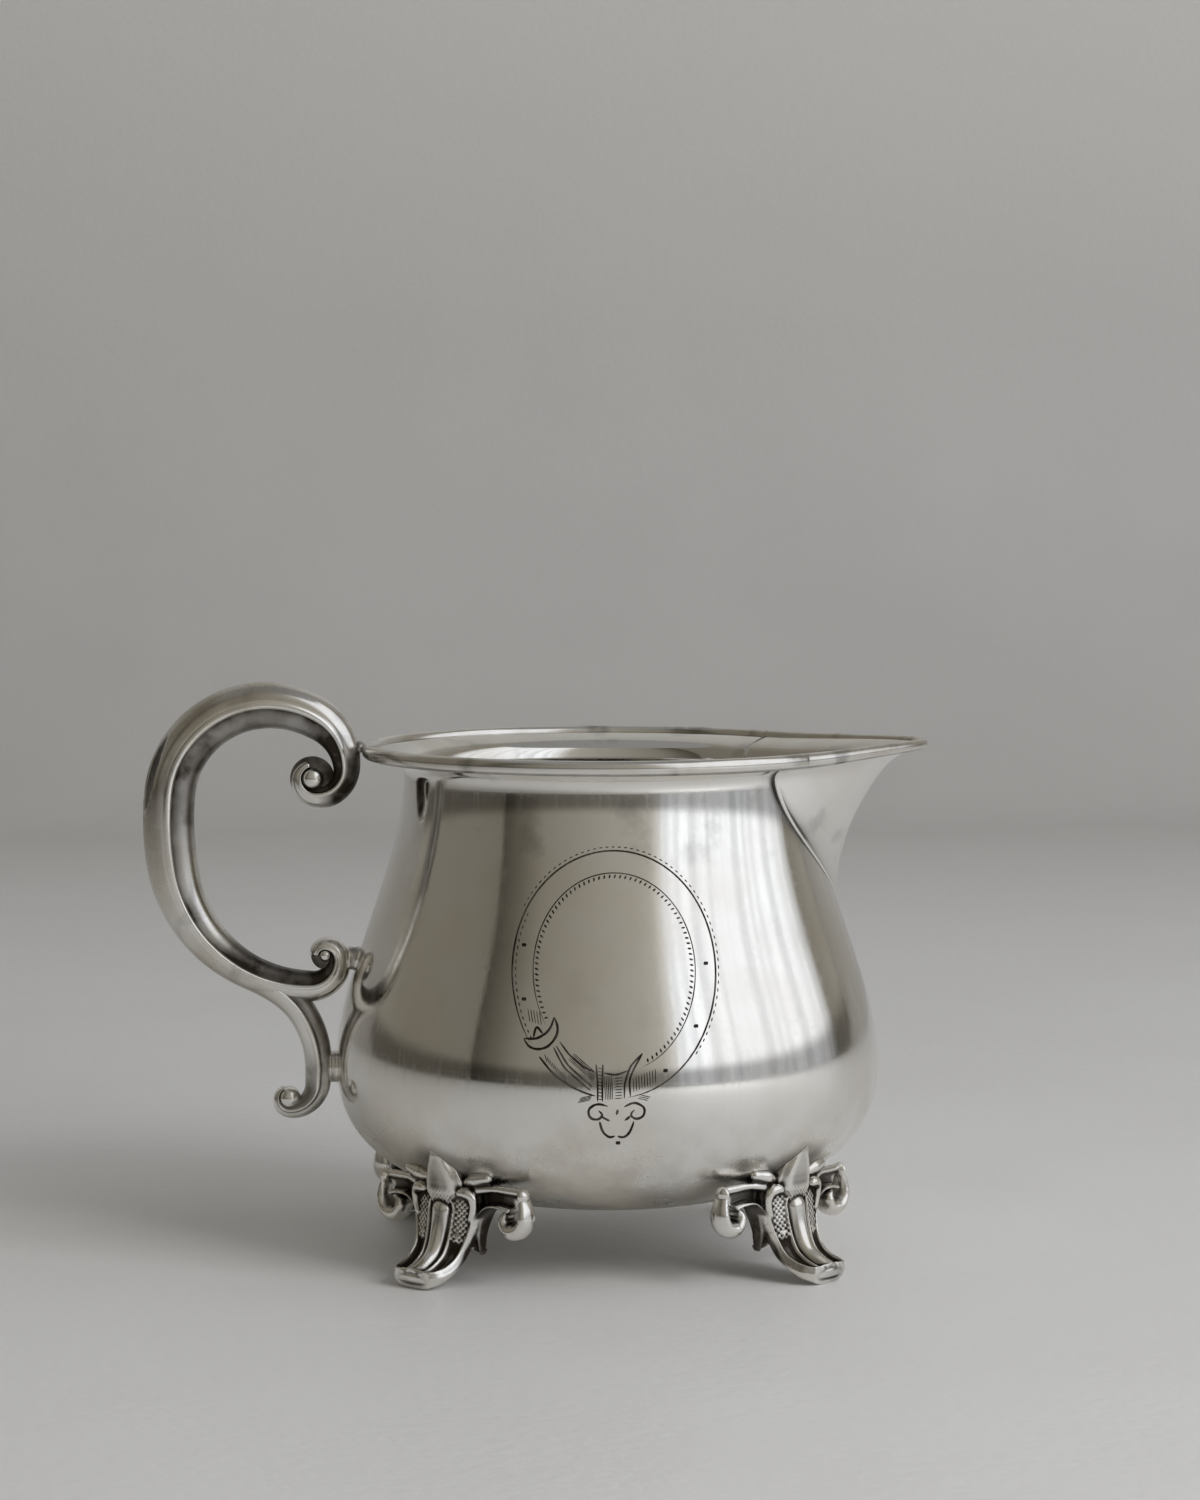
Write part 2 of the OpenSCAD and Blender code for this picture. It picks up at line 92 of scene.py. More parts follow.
def putPiece(name, parts, material, nodes=(), mergeAt=0.0004):  # millimetres in, a finished piece out
    points, quads, shade = joined(parts)
    mesh = newMesh(name, points * mm, quads, shade)
    bench = bmesh.new()
    bench.from_mesh(mesh)
    bmesh.ops.remove_doubles(bench, verts=bench.verts, dist=mergeAt * mm)
    bmesh.ops.recalc_face_normals(bench, faces=bench.faces)
    bench.to_mesh(mesh)
    bench.free()
    mesh.shade_smooth()
    mesh.materials.append(material)
    piece = bpy.data.objects.new(name, mesh)
    scene.collection.objects.link(piece)
    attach(piece, "root")
    if nodes:
        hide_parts(*nodes)
    print(name, len(mesh.polygons), "faces")
    return piece


def cubicCurve(points, t):  # four control points, weighted by the terms of (1 - t + t) cubed
    p = np.asarray(points, float)
    t = np.asarray(t, float)[..., None]
    return (1 - t) ** 3 * p[0] + 3 * t * (1 - t) ** 2 * p[1] + 3 * t**2 * (1 - t) * p[2] + t**3 * p[3]


def along(line):  # distance of each point from the start, measured along the line
    return np.concatenate([[0], np.cumsum(np.linalg.norm(np.diff(line, axis=0), axis=1))])


def unit(ways):  # each way divided by its own length
    return ways / np.maximum(np.linalg.norm(ways, axis=-1, keepdims=True), 1e-9)


def spaced(line, count):  # the same line with points at equal steps
    run = along(line)
    steps = np.linspace(0, run[-1], count)
    return np.stack([np.interp(steps, run, column) for column in line.T], 1)


def eased(values, sigma):  # running mean with bell-shaped weights, ends mirrored through themselves
    reach = int(4 * sigma) + 1
    bell = np.exp(-0.5 * (np.arange(-reach, reach + 1) / sigma) ** 2)
    ahead = 2 * values[:1] - values[reach:0:-1]
    behind = 2 * values[-1:] - values[-2 : -reach - 2 : -1]
    padded = np.concatenate([ahead, values, behind])
    columns = padded.reshape(len(padded), -1).T
    smooth = [np.convolve(column, bell / bell.sum(), "valid") for column in columns]
    return np.stack(smooth, 1).reshape(values.shape)


def step(low, high, x):  # 0 below low, 1 above high, smooth between
    t = np.clip((x - low) / (high - low), 0, 1)
    return t * t * (3 - 2 * t)


# Materials: Wire turns Python sums into Math nodes, Shop adds every other node


class Wire:  # a socket that can be added, taken away and multiplied
    def __init__(self, shop, socket):
        self.shop = shop
        self.socket = socket

    def math(self, operation, *others):  # one Math node: this socket first, then the others
        return self.shop.node("Math", {"operation": operation}, dict(enumerate((self,) + others)))

    def __add__(self, other):
        return self.math("ADD", other)

    def __sub__(self, other):
        return self.math("SUBTRACT", other)

    def __rsub__(self, other):
        return self.shop.node("Math", {"operation": "SUBTRACT"}, {0: other, 1: self})

    def __mul__(self, other):
        return self.math("MULTIPLY", other)

    __radd__ = __add__
    __rmul__ = __mul__


class Shop:  # one node tree, and the making of its nodes
    def __init__(self, tree):
        self.tree = tree
        tree.nodes.clear()

    def node(self, kind, settings=None, sockets=None, output=0):  # settings first, then values or links
        made = self.tree.nodes.new("ShaderNode" + kind)
        for name, value in (settings or {}).items():
            if name == "stops":
                ramp = made.color_ramp.elements
                for extra in range(len(value) - len(ramp)):
                    ramp.new(1)
                for element, (place, colour) in zip(ramp, value):
                    element.position = place
                    element.color = colour
            else:
                setattr(made, name, value)
        for name, value in (sockets or {}).items():
            if isinstance(value, Wire):
                self.tree.links.new(value.socket, made.inputs[name])
            else:
                made.inputs[name].default_value = value
        return Wire(self, made.outputs[output]) if made.outputs else None

    def blend(self, share, first, second):  # colour between two, by a share from 0 to 1
        sockets = {0: share, 6: first, 7: second}
        return self.node("Mix", {"data_type": "RGBA"}, sockets, 2)

    def noise(self, place, scale, detail=4.0, stretch=None):  # cloudy value, drawn out where stretch is given
        if stretch:
            place = self.node("Mapping", None, {0: place, 3: stretch})
        return self.node("TexNoise", None, {"Vector": place, "Scale": scale, "Detail": detail}, 0)

    def between(self, value, low, high, start=0.0, end=1.0):  # smooth ramp of a value from start to end
        settings = {"interpolation_type": "SMOOTHSTEP"}
        return self.node("MapRange", settings, {0: value, 1: low, 2: high, 3: start, 4: end})


def rgb(red, green, blue):  # linear colour with full alpha
    return (red, green, blue, 1.0)


def newMaterial(name):  # a material, and the shop that makes its nodes
    material = bpy.data.materials.new(name)
    material.use_nodes = True
    return material, Shop(material.node_tree)


# Attribute shade on a mesh: above 0 is black, oxide in the hollows and painted shade where a piece lays it
# on; below 0 a brown or olive film

silverLook = dict(
    bright=rgb(0.86, 0.845, 0.81),
    warm=rgb(0.72, 0.67, 0.58),  # thin yellow tarnish
    oxideAndShade=rgb(0.042, 0.033, 0.025),  # black oxide left in the hollows, and painted shade
    tarnish=rgb(0.22, 0.185, 0.13),  # brown and olive film
    cloudScale=70.0,
    blotScale=240.0,
    spotScale=130.0,
    grainScale=1500.0,
    streak=(1900.0, 1900.0, 60.0),  # polish marks up and down, then round the body
    cross=(150.0, 150.0, 2400.0),
    dullBelly=(0.031, 0.014),  # metres up: the finish starts to dull, and is dull
    spottedNeck=(0.056, 0.069),
)


def silver(name, rough, roughMore, warmth, scratch, stain, belly=0.0):  # clouds and marks over bright metal
    material, shop = newMaterial(name)
    place = shop.node("TexCoord", output="Object")
    shade = shop.node("Attribute", {"attribute_name": "shade"}, output="Fac")
    cloud = shop.between(shop.noise(place, silverLook["cloudScale"], 6.0), 0.38, 0.68)
    blot = shop.between(shop.noise(place, silverLook["blotScale"], 6.0), 0.36, 0.66)
    spots = shop.between(shop.noise(place, silverLook["spotScale"], 7.0), 0.56, 0.72)
    grain = shop.noise(place, silverLook["grainScale"], 3.0)
    streak = shop.noise(place, 1.0, 5.0, silverLook["streak"])
    cross = shop.noise(place, 1.0, 5.0, silverLook["cross"])
    height = shop.node("SeparateXYZ", None, {0: place}, "Z")
    low = shop.between(height, *silverLook["dullBelly"]) * belly
    # shade above 0 gives both the oxide in hollows and painted shade
    oxideAndShade = shade.math("MAXIMUM", 0.0) * (0.9 + blot * 0.22)
    film = (0 - shade).math("MAXIMUM", 0.0) * (0.6 + cloud * 0.6) + low * blot * 0.18
    tone = shop.blend(cloud * warmth + low * cloud * 0.5, silverLook["bright"], silverLook["warm"])
    tone = shop.blend(film, tone, silverLook["tarnish"])
    neck = shop.between(height, *silverLook["spottedNeck"]) * belly
    tone = shop.blend(oxideAndShade + spots * (neck * 0.2 + stain), tone, silverLook["oxideAndShade"])
    marks = shop.between(streak, 0.45, 0.8) * 0.6 + shop.between(cross, 0.5, 0.8) * 0.4
    wear = cloud * roughMore + marks * scratch + oxideAndShade * 0.3 + film * 0.06
    roughness = rough + wear + low * cloud * 0.16 + low * 0.16
    bump = shop.node("Bump", None, {"Strength": 0.12, "Distance": 0.00002, "Height": grain * 0.5 + streak})
    skin = {"Base Color": tone, "Roughness": roughness, "Metallic": 1.0, "Normal": bump}
    surface = shop.node("BsdfPrincipled", None, skin)
    shop.node("OutputMaterial", None, {0: surface})
    return material


finishes = dict(
    raisedSheet=dict(rough=0.07, roughMore=0.05, warmth=0.35, scratch=0.13, stain=0.05, belly=1.0),
    drawnWire=dict(rough=0.14, roughMore=0.08, warmth=0.5, scratch=0.1, stain=0.45),
    castSilver=dict(rough=0.15, roughMore=0.1, warmth=0.55, scratch=0.12, stain=0.3),
)
sheetSilver, wireSilver, castSilver = [silver(name, **look) for name, look in finishes.items()]
print("materials ready")

# Raised body

bodyLow, bodyHigh = boxOf("body_shell")
axisX = (bodyLow[0] + bodyHigh[0]) / 2
rimHigh, lipHigh = boxOf("rim_wire")[1], boxOf("lip_wire")[1]
gap = 0.06  # solder gap between neighbouring pieces

rim = dict(radius=rimHigh[1], top=rimHigh[2], height=2.3, breadth=1.9)
rim["midR"] = rim["radius"] - rim["breadth"] / 2
rim["midZ"] = rim["top"] - rim["height"] / 2

body = dict(
    bellyR=bodyHigh[1],
    bellyZ=29.5,
    baseZ=bodyLow[2],
    square=2.5,  # 2 would be an ellipse
    neckR=31.4,
    neckZ=74.2,
    wall=0.9,
    bellyRun=13.4,
    neckRun=15.0,
    flareRun=1.6,
    mouthRun=(2.8, 0.7),
    rows=190,
    columns=190,
    ripple=0.01,  # hand-raised sheet is never quite true
)
body["flareR"] = rim["radius"] - rim["breadth"] - gap
body["flareZ"] = rim["midZ"] - 0.7 * body["wall"]
seam = dict(
    low=54.2,
    halfAngle=np.radians(41.0),
    groove=0.16,
    breadth=0.42,
    band=1.25,  # half breadth of the black solder line
    bandTop=0.35,  # and how much more it is at the mouth
    proud=0.1,
)
stains = dict(inside=-0.16, feet=0.6, feetZ=14.5, feetHalf=(7.2, 5.6))  # film inside, black round the feet


def bodyProfile():  # radius and height: squared ellipse, then two cubic curves, eased most at the belly
    a = np.radians(np.linspace(0, 90, 500))
    power = 2 / body["square"]
    drop = body["bellyZ"] - body["baseZ"]
    bottom = np.stack([body["bellyR"] * np.sin(a) ** power, body["bellyZ"] - drop * np.cos(a) ** power], 1)
    belly, neck = (body["bellyR"], body["bellyZ"]), (body["neckR"], body["neckZ"])
    mouth = (body["flareR"], body["flareZ"])
    handles = [(belly[0], belly[1] + body["bellyRun"]), (neck[0], neck[1] - body["neckRun"])]
    side = cubicCurve([belly, *handles, neck], np.linspace(0, 1, 400))
    lift = (neck[0], neck[1] + body["flareRun"])
    turn = (mouth[0] - body["mouthRun"][0], mouth[1] - body["mouthRun"][1])
    flare = cubicCurve([neck, lift, turn, mouth], np.linspace(0, 1, 120))
    line = spaced(np.concatenate([bottom, side[1:], flare[1:]]), 2200)
    pitch = along(line)[-1] / 2200
    soft, crisp = eased(line, 2.2 / pitch), eased(line, 0.35 / pitch)
    share = step(60, 70, line[:, 1:])
    line = soft * (1 - share) + crisp * share
    line[0] = (0, line[0, 1])
    return line


bodyLine = bodyProfile()
widest = int(np.argmax(bodyLine[:, 0]))


def radiusAt(z):  # outer radius of the body above the belly
    return np.interp(z, bodyLine[widest:, 1], bodyLine[widest:, 0])


def lowRadiusAt(z):  # outer radius at any height
    return np.interp(z, bodyLine[:, 1], bodyLine[:, 0])


def normalsOf(line):  # unit normals to the right of the line's direction
    way = unit(np.gradient(line, axis=0))
    return np.stack([way[:, 1], -way[:, 0]], 1)


rippleDraw = np.random.default_rng(7)
rippleRound = rippleDraw.integers(2, 9, 9)
rippleUp = rippleDraw.uniform(0.03, 0.22, 9)
rippleWaves = np.stack([rippleRound, rippleUp, rippleDraw.uniform(0, 6.28, 9)])


def ripple(theta, z):  # a few slow waves round and up the body, summed
    waves = [np.sin(k * theta + m * z + phase) for k, m, phase in rippleWaves.T]
    return body["ripple"] * sum(waves) / 3


def seamAngle(z):  # half angle of the opening under the spout: a sine from the seam's foot to the mouth
    share = np.clip((z - seam["low"]) / (body["flareZ"] - seam["low"]), 0, 1)
    return seam["halfAngle"] * np.sin(share * np.pi / 2)


def lathe(line, shares, angles):  # radius and height turned about the body's axis
    theta = angles[:, None] + shares[None, :] * (2 * np.pi - 2 * angles[:, None])
    radius = line[:, :1] + 0 * theta
    return theta, radius, line[:, 1:] + 0 * theta


def bodyGrid():  # outer wall up to the mouth and inner wall down again, with the seam's edges closed
    line = spaced(bodyLine, body["rows"])
    inside = line - body["wall"] * normalsOf(line)
    inside[0] = (0, line[0, 1] + body["wall"])
    angles = seamAngle(line[:, 1])
    angles = np.where(angles > 0, angles + gap / body["neckR"], 0)
    total = 2 * (np.pi - seam["halfAngle"]) * body["neckR"]
    edge = np.array([0, 0.1, 0.22, 0.36, 0.52, 0.72, 1.0, 1.4, 1.9])
    middle = np.linspace(2.5, total - 2.5, body["columns"])
    shares = np.concatenate([edge, middle, total - edge[::-1]]) / total
    theta, radius, z = lathe(line, shares, angles)
    nearest = np.minimum(shares, 1 - shares)[None, :] * (2 * np.pi - 2 * angles[:, None]) * radius
    dent = np.where(angles[:, None] > 0, np.exp(-((nearest / seam["breadth"]) ** 2)), 0)
    fade = np.clip(line[:, :1] / 12, 0, 1)
    outer = radius + fade * ripple(theta, z) - seam["groove"] * dent
    thetaIn, radiusIn, zIn = lathe(inside, shares, angles)
    radii, turns = np.concatenate([outer, radiusIn[::-1]]), np.concatenate([theta, thetaIn[::-1]])
    heights = np.concatenate([z, zIn[::-1]])
    points = np.stack([axisX + radii * np.cos(turns), radii * np.sin(turns), heights], -1)
    rows, columns = radii.shape
    split = np.nonzero(angles > 0)[0]
    low = np.arange(split[0] - 1, body["rows"] - 1)  # rows whose two edges have come apart
    edges = []
    for column in (0, columns - 1):
        corners = [low, low + 1, rows - 2 - low, rows - 1 - low]
        edges.append(np.stack([corner * columns + column for corner in corners], 1))
    quads = np.concatenate([gridQuads(rows, columns)] + edges)
    band = seam["band"] + seam["bandTop"] * step(65, 72, z)
    dark = np.where(angles[:, None] > 0, np.exp(-((nearest / band) ** 4)), 0)
    aside = (theta % (np.pi / 2) - np.pi / 4) * radius / stains["feetHalf"][0]
    toFoot = np.hypot(aside, (z - stains["feetZ"]) / stains["feetHalf"][1])
    dark = np.maximum(dark, stains["feet"] * step(1.3, 0.75, toFoot))
    shade = np.concatenate([dark, 0 * dark + stains["inside"]])
    return points.reshape(-1, 3), quads, shade.ravel()


putPiece("body", [bodyGrid()], sheetSilver, ["body_shell"])

# Spout: s from 0 at the foot of the seam to 1 at the mouth, u from 1 to -1 across

spout = dict(
    reach=lipHigh[0] - axisX,
    lipLift=0.8,
    tipBreadth=1.5,
    tipHeight=1.5,
    swell=9.6,
    swellPower=2.2,
    turnPower=24,  # how late the keel turns out
    round=0.2,
    keelWall=1.2,  # in walls of the body
    crowding=1.6,  # rows lie closer together towards the mouth
    rows=80,
    across=91,
)
keelTop = spout["reach"] - spout["tipBreadth"] - gap
keelFoot = float(radiusAt(seam["low"]))


def beak(u):  # rounded V: 0 on the keel, 1 at the seam
    low = spout["round"]
    return (np.sqrt(u * u + low * low) - low) / (np.sqrt(1 + low * low) - low)


def lipRise(u):  # the lip stands over the rim, most in the middle
    return spout["lipLift"] * (1 - u * u) ** 2


def keel(s):  # reach of the keel: swells steadily, then turns out sharply at the lip
    swell, late = spout["swell"] * s ** spout["swellPower"], s ** spout["turnPower"]
    return keelFoot + swell + (keelTop - keelFoot - spout["swell"]) * late


def spoutGrid():  # outer V and inner V at each level, joined round their edges
    s = 1 - (1 - np.linspace(0, 1, spout["rows"])) ** spout["crowding"]
    s = (0.012 + 0.988 * s)[:, None]
    u = np.linspace(1, -1, spout["across"])[None, :]
    z = seam["low"] + (body["flareZ"] - seam["low"]) * s
    half = seamAngle(z)
    wall, keelWall = body["wall"], spout["keelWall"] * body["wall"]
    sides = []
    outR, outZ = [np.interp(z, bodyLine[widest:, 1], column) for column in normalsOf(bodyLine)[widest:].T]
    for inset, keelInset in ((0, 0), (wall, keelWall)):
        radius = radiusAt(z) - inset * outR
        tip = keel(s) - keelInset * outR
        x = tip - (tip - radius * np.cos(half)) * beak(u)
        y = radius * np.sin(half) * u
        sides.append(np.stack(np.broadcast_arrays(x, y, z - inset * outZ + s**8 * lipRise(u)), -1))
    toEdge = (1 - np.abs(u)) * radiusAt(z) * np.maximum(half, 0.02)
    dent = np.exp(-((toEdge / seam["breadth"]) ** 2)) * step(0.0, 0.05, s)
    outward = np.stack(np.broadcast_arrays(np.cos(half), np.sin(half) * np.sign(u), 0 * z), -1)
    outer = sides[0] + seam["proud"] * dent[..., None] * outward  # the spout's edge stands a little proud
    rings = np.concatenate([outer, sides[1][:, ::-1]], 1) + (axisX, 0, 0)
    rows, columns = rings.shape[:2]
    j = np.arange(spout["across"] - 1)
    end = np.stack([j, j + 1, columns - 2 - j, columns - 1 - j], 1)
    ends = [end + row * columns for row in (0, rows - 1)]
    quads = np.concatenate([gridQuads(rows, columns, closed=True)] + ends)
    shade = np.concatenate([0 * dent, 0 * dent + stains["inside"]], 1)
    return rings.reshape(-1, 3), quads, shade.ravel()


putPiece("beak", [spoutGrid()], sheetSilver, ["spout"])

wireFilmAndUnderShade = dict(up=[-1, -0.75, -0.45, 1], tone=[0.6, 0.5, -0.28, -0.2])  # painted shade under the wire, where it meets the body; brown film over the rest


def ovalRings(path, out, half, sides=24):  # ovals across a path: out and up, half sizes per station
    a = np.linspace(0, 2 * np.pi, sides, endpoint=False)
    up = np.array([0, 0, 1.0])
    wide = (half[:, :1] * np.cos(a))[..., None] * out[:, None, :]
    high = (half[:, 1:] * np.sin(a))[..., None] * up
    # painted shade on each oval's underside, film over the rest
    tone = np.interp(np.sin(a), wireFilmAndUnderShade["up"], wireFilmAndUnderShade["tone"])
    return path[:, None, :] + wide + high, np.broadcast_to(tone, (len(path), sides))


def rimRings():  # ovals round the mouth, each end tucked a little way into the lip wire
    tuck = 0.12 / rim["midR"]
    ends = seam["halfAngle"], 2 * np.pi - seam["halfAngle"]
    theta = np.concatenate([[ends[0] - tuck], np.linspace(*ends, 300), [ends[1] + tuck]])
    out = np.stack([np.cos(theta), np.sin(theta), 0 * theta], 1)
    path = rim["midR"] * out + (axisX, 0, rim["midZ"])
    half = np.tile([rim["breadth"] / 2, rim["height"] / 2], (len(theta), 1))
    half[[0, -1]] *= 0.9
    return ovalRings(path, out, half)


def lipRings():  # the wire thins towards the tip of the beak
    u = np.linspace(0.99, -0.99, 181)
    u = np.concatenate([[1, 0.9992], u, [-0.9992, -1]])
    end = seam["halfAngle"]
    tip = spout["reach"] - spout["tipBreadth"] / 2
    x = tip - (tip - rim["midR"] * np.cos(end)) * beak(u)
    path = np.stack([x, rim["midR"] * np.sin(end) * u, rim["midZ"] + lipRise(u)], 1)
    way = np.gradient(path, u, axis=0)
    out = unit(np.stack([way[:, 1], -way[:, 0], 0 * u], 1))
    share = np.abs(u)[:, None]
    tipHalf = np.array([spout["tipBreadth"], spout["tipHeight"]]) / 2
    half = tipHalf + share * (np.array([rim["breadth"], rim["height"]]) / 2 - tipHalf)
    return ovalRings(path + (axisX, 0, 0), out, half)


putPiece("rimWire", [capped(*rimRings())], wireSilver, ["rim_wire"])
putPiece("lipWire", [capped(*lipRings())], wireSilver, ["lip_wire"])

# Scroll handle: arcs laid end to end, each a radius, a turn, then half thickness, half breadth and roll

handle = dict(
    top=(-(rim["radius"] + 14.4), 84.8),
    topSection=(3.6, 4.0, 0.88),
    upperRuns=[
        (15.1, 32, 3.3, 3.9, 0.88),
        (8.8, 58, 2.0, 3.2, 0.6),
        (4.6, 90, 1.7, 2.7, 0.45),
        (3.0, 90, 1.0, 2.2, 0.45),
        (2.3, 80, 0.7, 1.9, 0.45),
    ],
    shoulderRuns=[(15.1, 85, 3.95, 4.2, 0.88), (45, 15, 3.95, 4.2, 0.88), (22, 50, 2.7, 3.4, 0.85)],
    stemTurn=30,
    voluteRuns=[(4.3, 90, 1.75, 2.5, 0.5), (2.2, 90, 1.1, 2.1, 0.45), (1.6, 90, 0.8, 1.8, 0.45)],
    hookRuns=[(30, 5, 2.0, 2.6, 0.85), (4.4, 85, 1.3, 2.2, 0.85), (1.8, 150, 0.3, 1.5, 0.85)],
    solder=(1.0, 1.7, 0.6),  # blob at the rim: radius, half length, height over the wire
    stemSection=(2.4, 2.9, 0.8),
    forkSection=(2.5, 3.2, 0.8),
    branchSection=(2.1, 2.6, 0.85),
    branchRuns=[(0.75, 2.3, 2.9, 0.85), (0.25, 2.4, 2.9, 0.85)],  # share of the branch's turn, section
    pitch=0.35,  # distance between stations
)


def walk(place, heading, section, runs, turn):  # stations on the arcs: x, z, heading and section
    place, section = np.array(place, float), np.array(section, float)
    rows = []
    for radius, angle, *end in runs:
        count = max(4, int(radius * np.radians(angle) / handle["pitch"]))
        share = np.linspace(0, 1, count, endpoint=False)[:, None]
        side = np.radians(heading + turn * 90)
        middle = place + radius * np.array([np.cos(side), np.sin(side)])
        way = heading + turn * angle * share
        out = np.radians(way + turn * 90)
        spots = middle - radius * np.concatenate([np.cos(out), np.sin(out)], 1)
        rows.append(np.concatenate([spots, way, section + (np.array(end) - section) * share], 1))
        heading += turn * angle
        last = np.radians(heading + turn * 90)
        place = middle - radius * np.array([np.cos(last), np.sin(last)])
        section = np.array(end)
    rows.append(np.concatenate([place, [heading], section])[None])
    return np.concatenate(rows), middle


def turnedBack(stations):  # the same stations from the other end, each heading turned half round
    return stations[::-1] + (0, 0, 180, 0, 0, 0)


def sectionShape():  # one side of the section in shares: crown, ridge bead, groove and inner roll
    a = np.linspace(0, np.pi / 2, 14)
    crown = np.stack([0.2 + 0.8 * np.cos(a) ** 0.9, 0.94 * np.sin(a) ** 1.05], 1)
    ridge = [(0.18, 0.95), (0.13, 0.985), (0.05, 1.0), (-0.03, 0.985), (-0.09, 0.945), (-0.13, 0.895)]
    fall = np.linspace(0, 1, 12)
    roll = np.stack([-0.16 - 0.84 * np.sin(fall * np.pi / 2), 0.88 * np.cos(fall * np.pi / 2) ** 0.62], 1)
    shape = np.concatenate([crown, ridge, roll])
    isRoll = np.concatenate([np.zeros(len(crown)), [0, 0, 0, 0.1, 0.5, 0.9], np.ones(len(roll))])
    isRidge = np.concatenate([np.zeros(len(crown) - 1), [0.3, 0.8, 1, 1, 1, 0.6, 0], np.zeros(len(roll))])
    dark = np.concatenate([np.zeros(len(crown) - 1), [0.35, 0, 0, 0, 0, 0.3, 0.75], 0.7 * np.exp(-fall * 8)])
    return shape, isRoll, isRidge, dark


def sweep(stations, crownTone, rollTone, blackness=0.0, hollow=None):  # section carried along the stations
    shape, isRoll, isRidge, dark = sectionShape()
    x, z, way, h, w, roll = [column[:, None] for column in stations.T]
    curl = np.clip((0.88 - roll) / 0.43, 0, 1)  # 1 in a volute, where the crown takes most of the section
    share = shape[:, 0]
    share = np.where(share > 0, 1 - (1 - share) * (1 + 0.5 * curl), -0.5 * curl + share * (1 - 0.5 * curl))
    narrow = 1 + isRoll * (roll / 0.88 - 1)
    thick, wide = h * share, w * shape[:, 1] * narrow
    tone = np.reshape(crownTone, (-1, 1)) * (1 - isRoll) + np.reshape(rollTone, (-1, 1)) * isRoll
    deep = (tone + dark * (1 - tone)) * (1 - isRidge)
    deep = np.clip(deep + isRoll * curl * blackness, -1, 1)
    thick = np.concatenate([thick, thick[:, -2:0:-1]], 1)
    wide = np.concatenate([-wide, wide[:, -2:0:-1]], 1)
    deep = np.concatenate([deep, deep[:, -2:0:-1]], 1)
    if hollow is not None:
        cut = hollow(x, z, way, thick, wide)
        thick = thick - cut[0]
        deep = np.where(cut[1] > 0, np.maximum(deep, cut[1]), deep)
    turn = np.radians(way)
    points = np.stack([axisX + x + thick * np.sin(turn), wide, z - thick * np.cos(turn)], -1)
    return capped(points, deep)


upperWalk, upperEye = walk(handle["top"], 0, handle["topSection"], handle["upperRuns"], -1)
stemStart = walk(handle["top"], 180, handle["topSection"], handle["shoulderRuns"], 1)[0][-1]
collar = dict(middleLength=1.0, middleD=3.8, lowerLength=0.7, lowerD=5.0, drop=16.8)
voluteR, voluteH = handle["voluteRuns"][0][0], handle["voluteRuns"][0][2]
stemTurn = np.radians(handle["stemTurn"])
middleZ = stemStart[1]
for settle in range(4):  # the height at which the middle volute comes nearest the body
    run = -radiusAt(middleZ) - collar["middleLength"] - voluteH - voluteR - stemStart[0]
    stemR = run / np.sin(stemTurn)
    middleZ = stemStart[1] - stemR * (1 - np.cos(stemTurn)) + voluteR
stemRun = (stemR, handle["stemTurn"], *handle["stemSection"])
lowerRuns = handle["shoulderRuns"] + [stemRun] + handle["voluteRuns"]
lowerWalk, middleEye = walk(handle["top"], 180, handle["topSection"], lowerRuns, 1)
scrollPath = np.concatenate([turnedBack(upperWalk)[:-1], lowerWalk])
scrollPath[:, 3:] = eased(scrollPath[:, 3:], 1.6 / handle["pitch"])

# Worn hollow on the outside of the shoulder, lens-shaped, painted dark inside as a dark reflection
notch = dict(z=73.4, length=10.5, breadth=3.6, depth=0.75, y=-1.4)


def notchCut(x, z, way, thick, wide):  # a lens: depth falls off as the square of the distance from its middle
    across = (wide - notch["y"]) / (notch["breadth"] / 2)
    lengthwise = (z - notch["z"]) / (notch["length"] / 2)
    inside = np.clip(1 - across**2 - lengthwise**2, 0, 1) * (thick > 0) * (x < handle["top"][0] - 8)
    # the second value paints the hollow dark: a painted dark reflection
    return notch["depth"] * inside**0.6, np.clip(inside * 3, 0, 0.85)


def disc(eye, radius, half, domed, sides=48):  # lathe about an axis across the handle, with domed ends
    a = np.linspace(0, np.pi / 2, 10)
    edge = np.stack([radius * np.cos(a), half - domed * (1 - np.sin(a))], 1)
    line = np.concatenate([edge[::-1], edge * (1, -1)])
    turn = np.linspace(0, 2 * np.pi, sides, endpoint=False)[None, :]
    x = axisX + eye[0] + line[:, :1] * np.cos(turn)
    z = eye[1] + line[:, :1] * np.sin(turn)
    return np.stack([x, line[:, 1:] + 0 * turn, z], -1)


